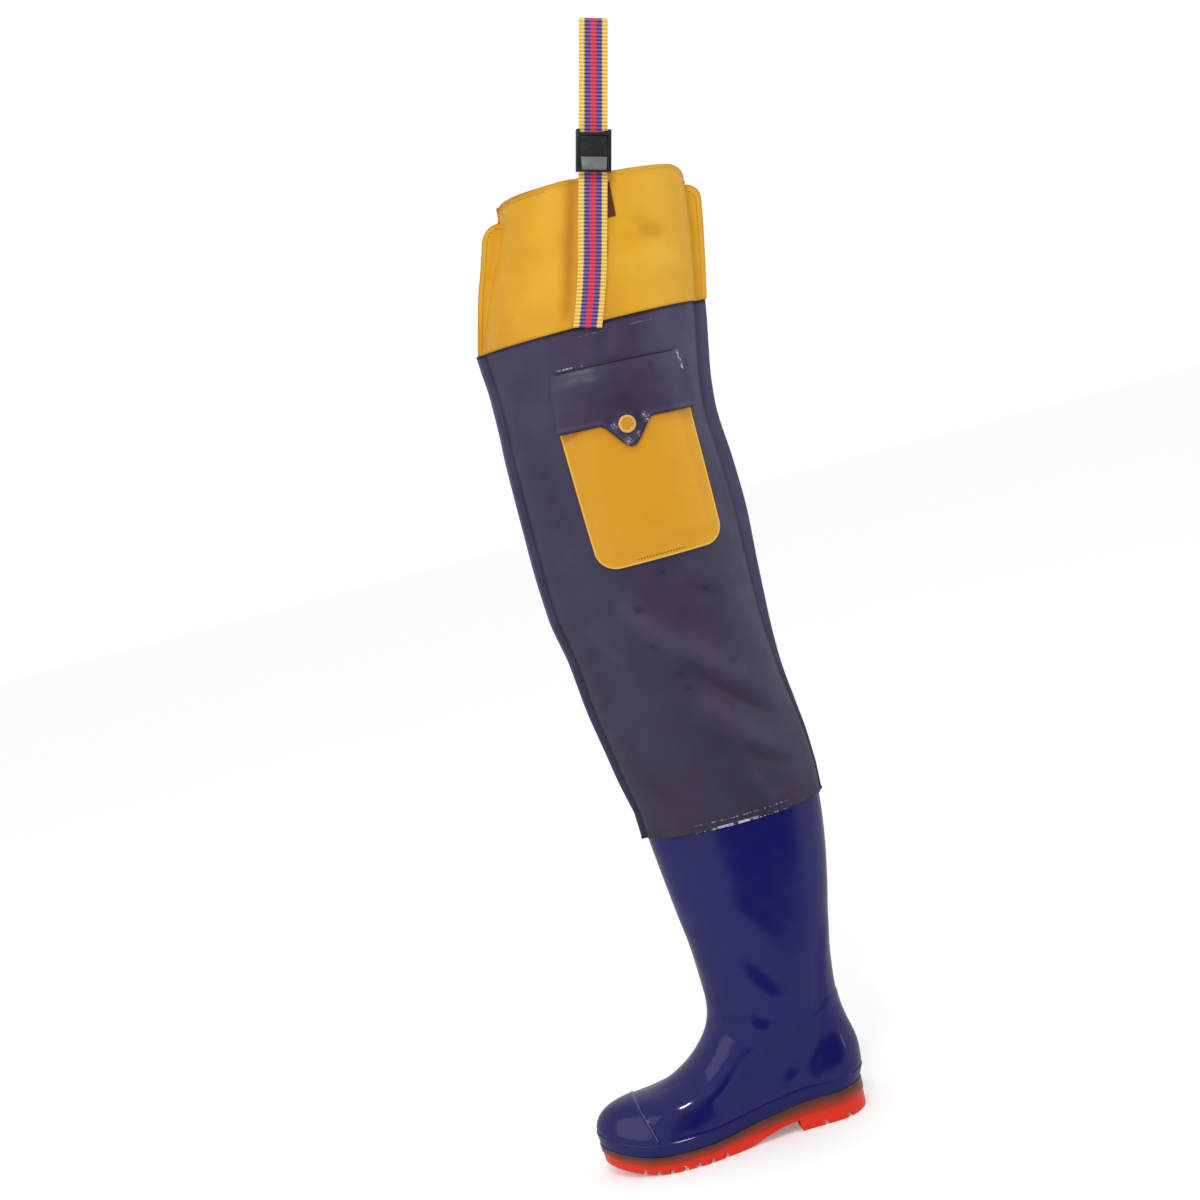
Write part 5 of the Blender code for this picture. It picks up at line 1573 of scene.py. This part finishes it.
def make_leg(material):
    """The fabric leg with its flat seams, folds and press marks, and its glued lower edge."""
    heights = [LEG_BOTTOM + rise for rise in (0.0, 0.0008, 0.0016, 0.0026)]
    heights += steps_between(LEG_BOTTOM + 0.0040, CUFF_BOTTOM - 0.004, LEG_PITCH)
    heights += [CUFF_BOTTOM - 0.004, CUFF_BOTTOM - GAP / 3.0]
    rings = [seamed_ring(limb_outline(z), z, *leg_seams(z)) for z in heights]
    for z in steps_between(CUFF_BOTTOM, CUFF_BOTTOM + CUFF_LAP, 0.004) + [CUFF_BOTTOM + CUFF_LAP]:
        rings.append(seamed_ring(limb_outline(z), z, GAP / 3.0, GAP / 3.0))
    bm = bmesh.new()
    lay_rings(bm, rings)
    face_outward(bm)
    bm.normal_update()
    for vert in bm.verts:
        x, y, z = vert.co
        lift = 0.0
        if z <= CUFF_BOTTOM - GAP:
            lift = leg_lift(x, z, math.copysign(1.0, y)) * beside_seam(y)
        lift += GLUE_BEAD * hump(z - LEG_BOTTOM - GLUE_MIDDLE, GLUE_WIDTH)
        vert.co += vert.normal * lift
    leg = finish_piece(
        bm, "leg_tube", material, "leg", {"tone_and_shading": leg_shading, "glue": leg_glue}, 60.0,
    )
    add_wall(leg, LEG_WALL)


def cuff_seams(height):
    """Widths of the cuff's two flanges, which end in round corners below its top."""
    up = (height - CUFF_BOTTOM) / (CUFF_TOP - CUFF_SEAM_DROP - CUFF_BOTTOM)
    front = lerp(CUFF_SEAM_START, CUFF_SEAM_FRONT, min(up, 1.0))
    back = lerp(SEAM_BACK, CUFF_SEAM_BACK, min(up, 1.0))
    below = CUFF_TOP - CUFF_SEAM_DROP - height
    if below < CUFF_CORNER:
        short = corner_inset(below, CUFF_CORNER)
        return max(front - short, GAP), max(back - short, GAP)
    return front, back


def rim_fall(x, outline):
    """How far along the rim a place lies, and how far the round corners lower the rim there."""
    front, back, _ = outline
    share = clamp((x - front) / (back - front))
    at_front = corner_inset(share * (back - front), RIM_CORNER) / RIM_CORNER
    at_back = corner_inset((1.0 - share) * (back - front), RIM_CORNER) / RIM_CORNER
    return share, RIM_FRONT_FALL * at_front + RIM_BACK_FALL * at_back


def settled(ring, outline):
    """A cuff ring moved down to the cuff's tilt and, near its rim, to the rim's round corners."""
    height = ring[0].z
    base = CUFF_BOTTOM + CUFF_LAP
    tilt = CUFF_TILT * max(0.0, height - base) / (CUFF_TOP - base)
    above = max(0.0, height - (CUFF_TOP - CUFF_SEAM_DROP)) / CUFF_SEAM_DROP
    for point in ring:
        share, fall = rim_fall(point.x, outline)
        point.z -= tilt * share + above * fall
    return ring


def cuff_shading(point):
    """Painted shading: lighter at the back half and on the front flange, darker low at the front,
    painted shade in the fold in front of the strap and beside its back edge, painted light and
    shade spots, and a painted shadow along the bottom edge.
    """
    x, y, z = point
    front, back, _ = limb_outline(clamp(z, CUFF_BOTTOM, CUFF_TOP))
    across = clamp((x - front) / (back - front))
    tone_and_shading = 0.44 + 0.16 * smooth_step((across - 0.52) / 0.25)
    tone_and_shading += 0.10 * smooth_step((front - x) / 0.002)
    tone_and_shading -= 0.08 * smooth_step((0.90 - z) / 0.05) * (1.0 - across)
    if y < 0.0:
        off = x - strap_middle(z)
        tone_and_shading -= 0.30 * hump(off + 0.022, 0.0065) * smooth_step((z - 0.846) / 0.02)
        tone_and_shading += 0.10 * hump(off + 0.042, 0.014)
        tone_and_shading -= 0.16 * hump(off - 0.017, 0.003) * smooth_step((z - 0.90) / 0.05)
        tone_and_shading += spot_sum(CUFF_SHADE_SPOTS, x, z)
    tone_and_shading -= 0.10 * hump(z - CUFF_BOTTOM, 0.002)
    return clamp(tone_and_shading)


def make_cuff(material):
    """The cuff with its round-cornered flanges, hem and the folds beside the strap."""
    seam_top = CUFF_TOP - CUFF_SEAM_DROP
    heights = steps_between(CUFF_BOTTOM, seam_top - CUFF_CORNER, CUFF_PITCH)
    for i in range(CUFF_CORNER_ROWS + 1):
        heights.append(seam_top - CUFF_CORNER * (1.0 - i / CUFF_CORNER_ROWS) ** 2)
    hem = CUFF_TOP - HEM_LINE
    rows = [(z, 0.0) for z in heights]
    rows += [(z, 0.0) for z in steps_between(seam_top + GAP, hem - 0.0004, 0.0022)]
    rows += [(hem - 0.0004, 0.0), (hem, 0.4), (hem + 0.0004, 0.9), (hem + 0.0012, 1.0)]
    rows += [(z, 1.0) for z in steps_between(hem + 0.002, CUFF_TOP - 0.001, 0.002)]
    rows += [(CUFF_TOP - 0.0010, 1.0), (CUFF_TOP - 0.0003, 0.8), (CUFF_TOP, 0.3)]
    rings = []
    for z, step in rows:
        face = grown(limb_outline(z), GAP + CUFF_WALL + step * HEM_STEP)
        seams = cuff_seams(z) if z <= seam_top else (GAP / 3.0, GAP / 3.0)
        rings.append(settled(seamed_ring(face, z, *seams), face))
    bm = bmesh.new()
    lay_rings(bm, rings)
    face_outward(bm)
    bm.normal_update()
    for vert in bm.verts:
        x, y, z = vert.co
        side = math.copysign(1.0, y)
        low = smooth_step((z - CUFF_BOTTOM) / FOLD_FADE)
        lift = fold_height(CUFF_FOLDS, x, z, side) * beside_seam(y) * low
        if side < 0.0 and abs(x - strap_middle(z)) < STRAP_WIDTH / 2.0 + 0.001:
            lift = min(lift, 0.0)
        vert.co += vert.normal * lift

    def edge(point):
        """Distance from a flange's cut edge."""
        if abs(point.y) > 2.0 * SEAM_THICKNESS:
            return CUFF_CORNER
        front, back, _ = limb_outline(clamp(point.z, CUFF_BOTTOM, CUFF_TOP))
        up = min((point.z - CUFF_BOTTOM) / (seam_top - CUFF_BOTTOM), 1.0)
        wide = lerp(CUFF_SEAM_START, CUFF_SEAM_FRONT, up), lerp(SEAM_BACK, CUFF_SEAM_BACK, up)
        cover = GAP + CUFF_WALL
        at_back = point.x > (front + back) / 2.0
        side = back + wide[1] + cover - point.x if at_back else point.x - front + wide[0] + cover
        top = seam_top - CUFF_TILT * (0.95 if at_back else 0.0) - point.z
        if side < CUFF_CORNER and top < CUFF_CORNER:
            return CUFF_CORNER - math.hypot(CUFF_CORNER - side, CUFF_CORNER - top)
        return min(side, max(top, 0.0)) if top > -0.002 else CUFF_CORNER

    def rim(point):
        """Depth below the cuff's rim."""
        outline = limb_outline(clamp(point.z, CUFF_BOTTOM, CUFF_TOP))
        share, fall = rim_fall(point.x, outline)
        return CUFF_TOP - CUFF_TILT * share - fall - point.z

    cuff = finish_piece(
        bm, "cuff_tube", material, "cuff",
        {"tone_and_shading": cuff_shading, "edge": edge, "rim": rim}, 60.0,
    )
    add_wall(cuff, CUFF_WALL)


# Pocket, flap and button

def on_side(x, z, away):
    """The point away from the leg's outer face, on its outer side, at this x and height."""
    front, back, half = limb_outline(z)
    reach = (back - front) / 2.0
    across = (x - front) / reach - 1.0
    depth = math.sqrt(max(0.0, 1.0 - across * across))
    normal = Vector((across / reach, -depth / half, 0.0)).normalized()
    return Vector((x, -half * depth, z)) + normal * (away + max(0.0, leg_lift(x, z, -1.0)))


def spread(left, right, share, z):
    """An x between left and right at a height, for an even share of the way round the leg."""
    front, back, _ = limb_outline(z)
    middle = (front + back) / 2.0
    reach = (back - front) / 2.0
    start, end = (math.acos((x - middle) / reach) for x in (left, right))
    return middle + reach * math.cos(lerp(start, end, share))


def sheet_rows(cells, place, under):
    """Rows of points of a curved sheet's face: place gives x and z, under gives its distance."""
    columns, rows = cells
    made = []
    for j in range(rows + 1):
        row = []
        for i in range(columns + 1):
            s, t = i / columns, j / rows
            x, z = place(s, t)
            row.append(on_side(x, z, under(s, t) + SHEET))
        made.append(row)
    return made


def pocket_rise(t):
    """Height above the pocket's bottom edge, with rows closer together in its round corners."""
    return (POCKET_TOP - POCKET_BOTTOM) * t ** POCKET_ROW_CURVE


def pocket_place(s, t):
    """x and z on the pocket, for shares across and up."""
    rise = pocket_rise(t)
    inset = corner_inset(rise, POCKET_CORNER)
    z = POCKET_BOTTOM + rise
    mouth = (z - POCKET_MOUTH_START) / (POCKET_TOP - POCKET_MOUTH_START)
    inset += POCKET_MOUTH_INSET * smooth_step(mouth)
    left = POCKET_LEFT + POCKET_TAPER * (1.0 - t) + inset
    right = POCKET_LEFT + POCKET_WIDTH - inset
    return spread(left, right, s, z), z


def pocket_puff(s, t):
    """How far the pocket's back stands off the leg, flat along its welded edges."""
    from_edge = min(min(s, 1.0 - s) * POCKET_WIDTH, pocket_rise(t))
    sway = POCKET_SWAY * math.sin(7.0 * s + 1.3) * math.sin(5.0 * t)
    return (POCKET_PUFF + sway) * smooth_step((from_edge - POCKET_WELD) / PUFF_RAMP)


def skin_piece(rows, name, material, node, tones):
    """A thin sheet piece whose face lies on these rows, thick towards the leg."""
    bm = bmesh.new()
    lay_rings(bm, rows, closed=False)
    bmesh.ops.recalc_face_normals(bm, faces=bm.faces)
    away = sum((face.normal.y for face in bm.faces), 0.0)
    if away > 0.0:
        bmesh.ops.reverse_faces(bm, faces=bm.faces)
    piece = finish_piece(bm, name, material, node, tones, 60.0)
    add_wall(piece, SHEET)
    soften_edges(piece, SHEET_ROUND, SHARP_ANGLE)


def pocket_edge(point):
    """Distance from the pocket's cut edge, in metres."""
    x, _, z = point
    rise = clamp(z - POCKET_BOTTOM)
    share = (rise / (POCKET_TOP - POCKET_BOTTOM)) ** (1.0 / POCKET_ROW_CURVE)
    left = POCKET_LEFT + POCKET_TAPER * (1.0 - share)
    right = POCKET_LEFT + POCKET_WIDTH
    side = min(x - left, right - x)
    if side < POCKET_CORNER and rise < POCKET_CORNER:
        return POCKET_CORNER - math.hypot(POCKET_CORNER - side, POCKET_CORNER - rise)
    return min(side, rise)


def pocket_shading(point):
    """Painted shade under the flap, painted light towards the back and low down."""
    x, _, z = point
    tone_and_shading = 0.46 + 0.20 * smooth_step((x + 0.04) / 0.07) + 0.05 * smooth_step((0.66 - z) / 0.05)
    tone_and_shading -= 0.34 * smooth_step((z - flap_low(x) + 0.012) / 0.012)
    return clamp(tone_and_shading)


def make_pocket(material):
    """The patch pocket, puffed between its welded edges."""
    rows = sheet_rows(POCKET_CELLS, pocket_place, lambda s, t: SHEET_GAP + pocket_puff(s, t))
    skin_piece(rows, "patch_pocket", material, "pocket",
               {"tone_and_shading": pocket_shading, "edge": pocket_edge})


def tab_drop(x):
    """How far the flap's pointed tab hangs below its lower edge at this x."""
    return TAB_DROP * smooth_step(1.0 - abs(x - TAB_X) / TAB_HALF)


def flap_low(x):
    """Height of the flap's lower edge at this x."""
    share = clamp((x - FLAP_LEFT) / (FLAP_RIGHT - FLAP_LEFT))
    return FLAP_BOTTOM - FLAP_DROOP * share - tab_drop(x)


def flap_place(s, t):
    """x and z on the flap, from its top edge down to the lower edge with its pointed tab."""
    slant = FLAP_SLANT * t
    x = spread(FLAP_LEFT - slant, FLAP_RIGHT - slant, s, FLAP_TOP)
    return x, lerp(FLAP_TOP, FLAP_BOTTOM - tab_drop(x), t) - FLAP_DROOP * s


def flap_stand(t):
    """How far the flap's back stands off the leg: flat at its top weld, then over the pocket."""
    clear = SHEET_GAP + GAP + SHEET + POCKET_PUFF
    return lerp(SHEET_GAP, clear, smooth_step(t / FLAP_RISE_SHARE))


def flap_under(s, t):
    """The flap's stand-off with its pull round the button and its turned-up corners."""
    x, z = flap_place(s, t)
    far = math.hypot(x - BUTTON_X, z - BUTTON_Z)
    ring = FLAP_PULL * hump(far - FLAP_PULL_RADIUS, 0.006)
    low = smooth_step((t - 0.45) / 0.5)
    wave = FLAP_WAVE * math.sin(16.0 * s + 0.6) * low * smooth_step((far - 0.020) / 0.02)
    corner = FLAP_CORNER_LIFT * low * (hump(s, 0.10) + hump(1.0 - s, 0.10))
    bead = FLAP_BEAD * hump(z - flap_low(x) - 0.0026, 0.0016)
    weld = FLAP_WELD * (hump(t - 0.10, 0.05) - hump(t - 0.03, 0.03))
    return flap_stand(t) + ring + wave + corner + bead + weld


def flap_glint(point):
    """Where the gloss catches the light: round the tab, at its tip and beside the button."""
    return clamp(spot_sum(FLAP_GLINTS, point.x, point.z))


def flap_edge_shade(point):
    """Painted shade in dark red-brown along the flap's bottom edge."""
    return hump(point.z - flap_low(point.x), 0.0011)


def flap_shading(point):
    """Painted shading: dark round the button's pull and at the lower edge, lighter on the flat of
    the flap and along its edge.
    """
    x, _, z = point
    far = math.hypot(x - BUTTON_X, z - BUTTON_Z)
    tone_and_shading = 0.50 + 0.10 * smooth_step((x + 0.03) / 0.06) + spot_sum(FLAP_SHADE_SPOTS, x, z)
    tone_and_shading += 0.16 * hump(far - 0.0105, 0.0025)
    edge = z - flap_low(x)
    tone_and_shading -= 0.24 * hump(edge, 0.0016)
    tone_and_shading += 0.14 * hump(edge - 0.004, 0.0016)
    return clamp(tone_and_shading)


def make_flap(material):
    """The flap over the pocket's mouth, pulled in round its button."""
    rows = sheet_rows(FLAP_CELLS, flap_place, flap_under)
    skin_piece(rows, "button_flap", material, "pocket_flap",
               {"tone_and_shading": flap_shading, "glint": flap_glint, "hem": flap_edge_shade})


def make_button(material):
    """The snap's cap: a turned disc with a rolled rim and a shallow dish."""
    seat = on_side(BUTTON_X, BUTTON_Z, flap_stand(1.0) + SHEET + GAP)
    outward = (seat - on_side(BUTTON_X, BUTTON_Z, 0.0)).normalized()
    radius = BUTTON_DIAMETER / 2.0
    bm = bmesh.new()
    verts = [bm.verts.new((radius * r, 0.0, BUTTON_THICKNESS * z)) for r, z in BUTTON_PROFILE]
    edges = [bm.edges.new(pair) for pair in zip(verts, verts[1:])]
    bmesh.ops.spin(
        bm, geom=verts + edges, cent=(0.0, 0.0, 0.0), axis=(0.0, 0.0, 1.0), dvec=(0.0, 0.0, 0.0),
        angle=2.0 * math.pi, steps=48, use_merge=True,
    )
    bmesh.ops.remove_doubles(bm, verts=bm.verts, dist=1e-5)
    bmesh.ops.recalc_face_normals(bm, faces=bm.faces)
    turn = outward.to_track_quat("Z", "Y").to_matrix().to_4x4()
    place = Matrix.Translation(seat + outward * (GAP + 0.0006))
    bmesh.ops.transform(bm, matrix=place @ turn, verts=bm.verts)

    def rim(point):
        """0 in the button's dish and 1 on its rolled rim."""
        off = point - seat
        share = (off - outward * off.dot(outward)).length / radius
        return smooth_step((share - 0.70) / 0.12)

    finish_piece(bm, "snap_cap", material, "snap_button", {"rim": rim}, 50.0)


# Strap and buckle

def strap_middle(z):
    """x of the strap's middle line at a height."""
    rise = z - STRAP_BOTTOM
    bend = STRAP_BEND * max(0.0, 1.0 - rise / STRAP_BEND_LENGTH) ** 2
    return STRAP_X + rise * math.tan(STRAP_LEAN) - bend


def strap_point(along, across, away):
    """A point on the strap: height of its middle line, shift across, distance off the cuff."""
    x = strap_middle(along) + across * math.cos(STRAP_LEAN)
    z = along - across * math.sin(STRAP_LEAN)
    level = min(z + CUFF_TILT / 2.0, CUFF_TOP)
    front, back, half = grown(limb_outline(level), GAP + CUFF_WALL + HEM_STEP)
    share = clamp(2.0 * (x - front) / (back - front) - 1.0, -1.0, 1.0)
    free = clamp((z - CUFF_TOP) / HEM_HEIGHT)
    flat = lerp(math.sqrt(1.0 - share * share), 1.0, free)
    return Vector((x, -half * flat - away, z))


def strap_height(point):
    """Height of the strap's middle line square across from a point on it."""
    off = point.x - strap_middle(point.z)
    return point.z + off * math.sin(STRAP_LEAN) * math.cos(STRAP_LEAN)


def across_share(point):
    """How far across the strap a point lies, from -1 to 1."""
    off = point.x - strap_middle(strap_height(point))
    return off / math.cos(STRAP_LEAN) / (STRAP_WIDTH / 2.0)


def along_length(point):
    """Length along the strap."""
    return strap_height(point) / math.cos(STRAP_LEAN)


def make_strap(name, node, start, end, material):
    """A length of ribbed webbing between two heights of its middle line."""
    shares = [-share for share in WEB_SHARES[:0:-1]] + list(WEB_SHARES)
    count = round((end - start) / (RIB_PITCH / RIB_ROWS))
    rings = []
    for i in range(count + 1):
        along = lerp(start, end, i / count)
        length = along / math.cos(STRAP_LEAN)
        rib = RIB_HEIGHT * math.sin(2.0 * math.pi * length / RIB_PITCH)
        inside = 0.0 if abs(along - BUCKLE_Z) < BUCKLE_HEIGHT / 2.0 else 1.0
        near = []
        far = []
        for share in shares:
            at_edge = smooth_step((abs(share) - WEB_EDGE_START) / (1.0 - WEB_EDGE_START))
            edge = STRAP_THICKNESS * WEB_EDGE_ROUND * at_edge
            bulge = math.copysign(RIB_BULGE * rib * inside, share) * at_edge
            across = STRAP_WIDTH / 2.0 * share + bulge
            raised = (rib - RIB_HEIGHT * RIB_SINK) * inside
            near.append(strap_point(along, across, GAP + edge))
            far.append(strap_point(along, across, GAP + STRAP_THICKNESS - edge + raised))
        rings.append(near + far[::-1])
    bm = bmesh.new()
    lay_rings(bm, rings)
    bmesh.ops.holes_fill(bm, edges=bm.edges, sides=0)
    bmesh.ops.recalc_face_normals(bm, faces=bm.faces)
    finish_piece(bm, name, material, node,
                 {"across": across_share, "along": along_length}, 50.0)


def buckle_place():
    """Places the buckle: its X across the strap, its Y to the outer side, its Z along the strap."""
    middle = strap_point(BUCKLE_Z, 0.0, GAP)
    along = Vector((math.sin(STRAP_LEAN), 0.0, math.cos(STRAP_LEAN)))
    outward = Vector((0.0, -1.0, 0.0))
    turn = Matrix((outward.cross(along), outward, along)).transposed().to_4x4()
    return Matrix.Translation(middle) @ turn


def block(bm, width, depth, height, centre):
    """A box with its middle at centre, in the buckle's own axes."""
    made = bmesh.ops.create_cube(bm, size=1.0)["verts"]
    bmesh.ops.transform(bm, matrix=Matrix.Diagonal((width, depth, height, 1.0)), verts=made)
    bmesh.ops.translate(bm, verts=made, vec=centre)


def bevel_all(bm, offset):
    """Rounds every edge of the mesh."""
    bmesh.ops.bevel(
        bm, geom=bm.edges[:], offset=offset, segments=3, profile=0.5, affect="EDGES", material=-1,
    )


def make_buckle(black, grey):
    """The buckle's frame, the plate of its lever and the lever's grey thumb lip."""
    place = buckle_place()
    channel = STRAP_THICKNESS + 2.0 * GAP
    window_width = STRAP_WIDTH - WINDOW_INSET
    window_height = BUCKLE_HEIGHT - 2.0 * BUCKLE_BAR
    outer_width = STRAP_WIDTH + 2.0 * GAP + 2.0 * BUCKLE_SIDE

    bm = bmesh.new()
    block(bm, outer_width, BUCKLE_DEPTH, BUCKLE_HEIGHT, (0.0, BUCKLE_DEPTH / 2.0, 0.0))
    bevel_all(bm, EDGE_ROUND)
    bmesh.ops.transform(bm, matrix=place, verts=bm.verts)
    buckle = finish_piece(bm, "buckle_body", black, "buckle_frame")
    cutters = []
    for name, size, rise in (
        ("strap channel", (STRAP_WIDTH + 2.0 * GAP, 2.0 * channel, 2.0 * BUCKLE_HEIGHT), 0.0),
        ("lever window", (window_width, 4.0 * BUCKLE_DEPTH, window_height), 0.0),
        ("top notch", (window_width, 4.0 * BUCKLE_DEPTH, 2.0 * EAR_HEIGHT), BUCKLE_HEIGHT / 2.0),
    ):
        bm = bmesh.new()
        block(bm, *size, (0.0, 0.0, rise))
        bmesh.ops.transform(bm, matrix=place, verts=bm.verts)
        cutters.append(hidden_cutter(bm, name))
    cut_away(buckle, cutters)
    soften_edges(buckle, 0.00035, 45.0)

    bm = bmesh.new()
    width = window_width - 2.0 * GAP
    height = window_height - 2.0 * GAP
    block(bm, width, LEVER_THICKNESS, height, (0.0, channel + LEVER_THICKNESS / 2.0, 0.0))
    bmesh.ops.subdivide_edges(bm, edges=bm.edges[:], cuts=5, use_grid_fill=True)
    for vert in bm.verts:
        if vert.co.y > channel + LEVER_THICKNESS * 0.9:
            vert.co.y += LEVER_CROWN * (1.0 - (2.0 * vert.co.z / height) ** 2)
    bmesh.ops.transform(bm, matrix=place, verts=bm.verts)
    lever = finish_piece(bm, "lever_plate", black, "buckle_lever")
    soften_edges(lever, MOULDED_ROUND, 45.0)

    bm = bmesh.new()
    block(bm, LIP_WIDTH, LIP_THICKNESS, LIP_HEIGHT, (0.0, 0.0, 0.0))
    for vert in bm.verts:
        if vert.co.z < 0.0:
            vert.co.x *= LIP_TAPER
    bevel_all(bm, LIP_ROUND)
    above_bar = LIP_HEIGHT * LIP_SEAT
    inner = BUCKLE_DEPTH + 2.0 * GAP - above_bar * math.tan(LIP_ANGLE)
    middle = inner + LIP_THICKNESS / 2.0 / math.cos(LIP_ANGLE)
    seat = Matrix.Translation((0.0, middle, above_bar - window_height / 2.0))
    lean = Matrix.Rotation(LIP_ANGLE, 4, "X")
    bmesh.ops.transform(bm, matrix=place @ seat @ lean, verts=bm.verts)
    finish_piece(bm, "lever_lip", grey, "buckle_lever")


# Camera, floor and light

def place_camera():
    """The camera at the photograph's angle, rolled as the photograph is."""
    level = math.cos(CAMERA_TILT)
    forward = Vector((
        math.sin(CAMERA_PAN) * level, math.cos(CAMERA_PAN) * level, math.sin(CAMERA_TILT),
    ))
    right = forward.cross(Vector((0.0, 0.0, 1.0))).normalized()
    up = right.cross(forward)
    x_axis = right * math.cos(CAMERA_ROLL) + up * math.sin(CAMERA_ROLL)
    y_axis = -right * math.sin(CAMERA_ROLL) + up * math.cos(CAMERA_ROLL)
    lens = bpy.data.cameras.new("camera")
    lens.sensor_width = CAMERA_SENSOR
    lens.lens = CAMERA_LENS
    camera = add_object("camera", lens)
    turn = Matrix((x_axis, y_axis, -forward)).transposed().to_4x4()
    camera.matrix_world = Matrix.Translation(CAMERA_PLACE) @ turn
    bpy.context.scene.camera = camera


def facing_dark(tree, vector):
    """How far a vector points to the studio's dark side."""
    return put(tree, "ShaderNodeVectorMath", {"operation": "DOT_PRODUCT"}, {
        0: vector, 1: DARK_SIDE,
    }).outputs["Value"]


def grey(value):
    """A grey of this linear value."""
    return (value, value, value, 1.0)


def make_floor():
    """A plain pale floor, dimmer in reflections and darkest there on the studio's dark side."""
    bm = bmesh.new()
    bmesh.ops.create_grid(bm, x_segments=1, y_segments=1, size=FLOOR_SIZE)
    floor = mesh_object(bm, "floor")
    material, tree, shader = new_material("pale floor", Roughness=0.9, Specular_IOR_Level=0.1)
    place = object_place(tree)
    ahead = facing_dark(tree, place)
    far = put(tree, "ShaderNodeVectorMath", {"operation": "LENGTH"}, {0: place}).outputs["Value"]
    facing = sums(tree, "DIVIDE", ahead, sums(tree, "ADD", far, 0.001))
    lobe = ranged(tree, facing, DARK_START, DARK_END, eased=True)
    away = ranged(tree, ahead, 0.24, 0.84, eased=True)
    pale, dark = FLOOR_MIRRORED
    mirrored = blend_colours(tree, times(tree, lobe, away), grey(pale), grey(dark))
    rays = put(tree, "ShaderNodeLightPath").outputs
    colour = blend_colours(tree, rays["Is Glossy Ray"], grey(FLOOR_GREY), mirrored)
    join(tree, colour, shader, "Base Color")
    join(tree, times(tree, rays["Is Camera Ray"], FLOOR_LIFT), shader, "Emission Strength")
    floor.data.materials.append(material)


def add_lamp(row):
    """A soft area light aimed at the wader's middle."""
    light = bpy.data.lights.new(row.name, "AREA")
    light.shape = "RECTANGLE"
    light.size = row.wide
    light.size_y = row.tall
    light.energy = row.power
    lamp = add_object(row.name, light)
    aim = Vector(LAMP_TARGET) - Vector(row.place)
    turn = aim.to_track_quat("-Z", "Y").to_matrix().to_4x4()
    lamp.matrix_world = Matrix.Translation(row.place) @ turn


def light_studio():
    """An even pale surround, darker in reflections of the camera's side, and three soft lights."""
    world = bpy.data.worlds.new("studio")
    world.use_nodes = True
    tree = world.node_tree
    shader = tree.nodes["Background"]
    toward = put(tree, "ShaderNodeTexCoord").outputs["Generated"]
    facing = facing_dark(tree, toward)
    mirrored = ranged(tree, facing, DARK_START, DARK_END, *WORLD_MIRRORED, eased=True)
    rays = put(tree, "ShaderNodeLightPath").outputs
    plain = with_share(tree, WORLD_LIGHT, rays["Is Camera Ray"], WORLD_LIFT)
    strength = put(tree, "ShaderNodeMix", {"data_type": "FLOAT"}, {
        0: rays["Is Glossy Ray"], 2: plain, 3: mirrored,
    }).outputs[0]
    join(tree, strength, shader, "Strength")
    shader.inputs["Color"].default_value = grey(1.0)
    bpy.context.scene.world = world
    bpy.context.scene.view_settings.view_transform = "Standard"
    for row in LAMPS:
        add_lamp(row)


def main():
    """Builds the wader's looks piece by piece."""
    place_camera()
    make_floor()
    light_studio()
    make_outsole(sole_rubber())
    make_boot(boot_rubber())
    make_insole(insole_foam())
    make_leg(leg_cloth())
    make_cuff(cuff_cloth())
    make_pocket(pocket_cloth())
    make_flap(flap_cloth())
    make_button(button_plastic())
    ribbed = webbing()
    make_strap("belt_strap_lower", "strap_lower", STRAP_BOTTOM, BUCKLE_Z - GAP, ribbed)
    make_strap("belt_strap_upper", "strap_upper", BUCKLE_Z + GAP, STRAP_TOP, ribbed)
    make_buckle(plastic("buckle plastic", (36, 37, 38), 0.34, 10),
                plastic("lever plastic", (104, 108, 108), 0.36, 14))


main()
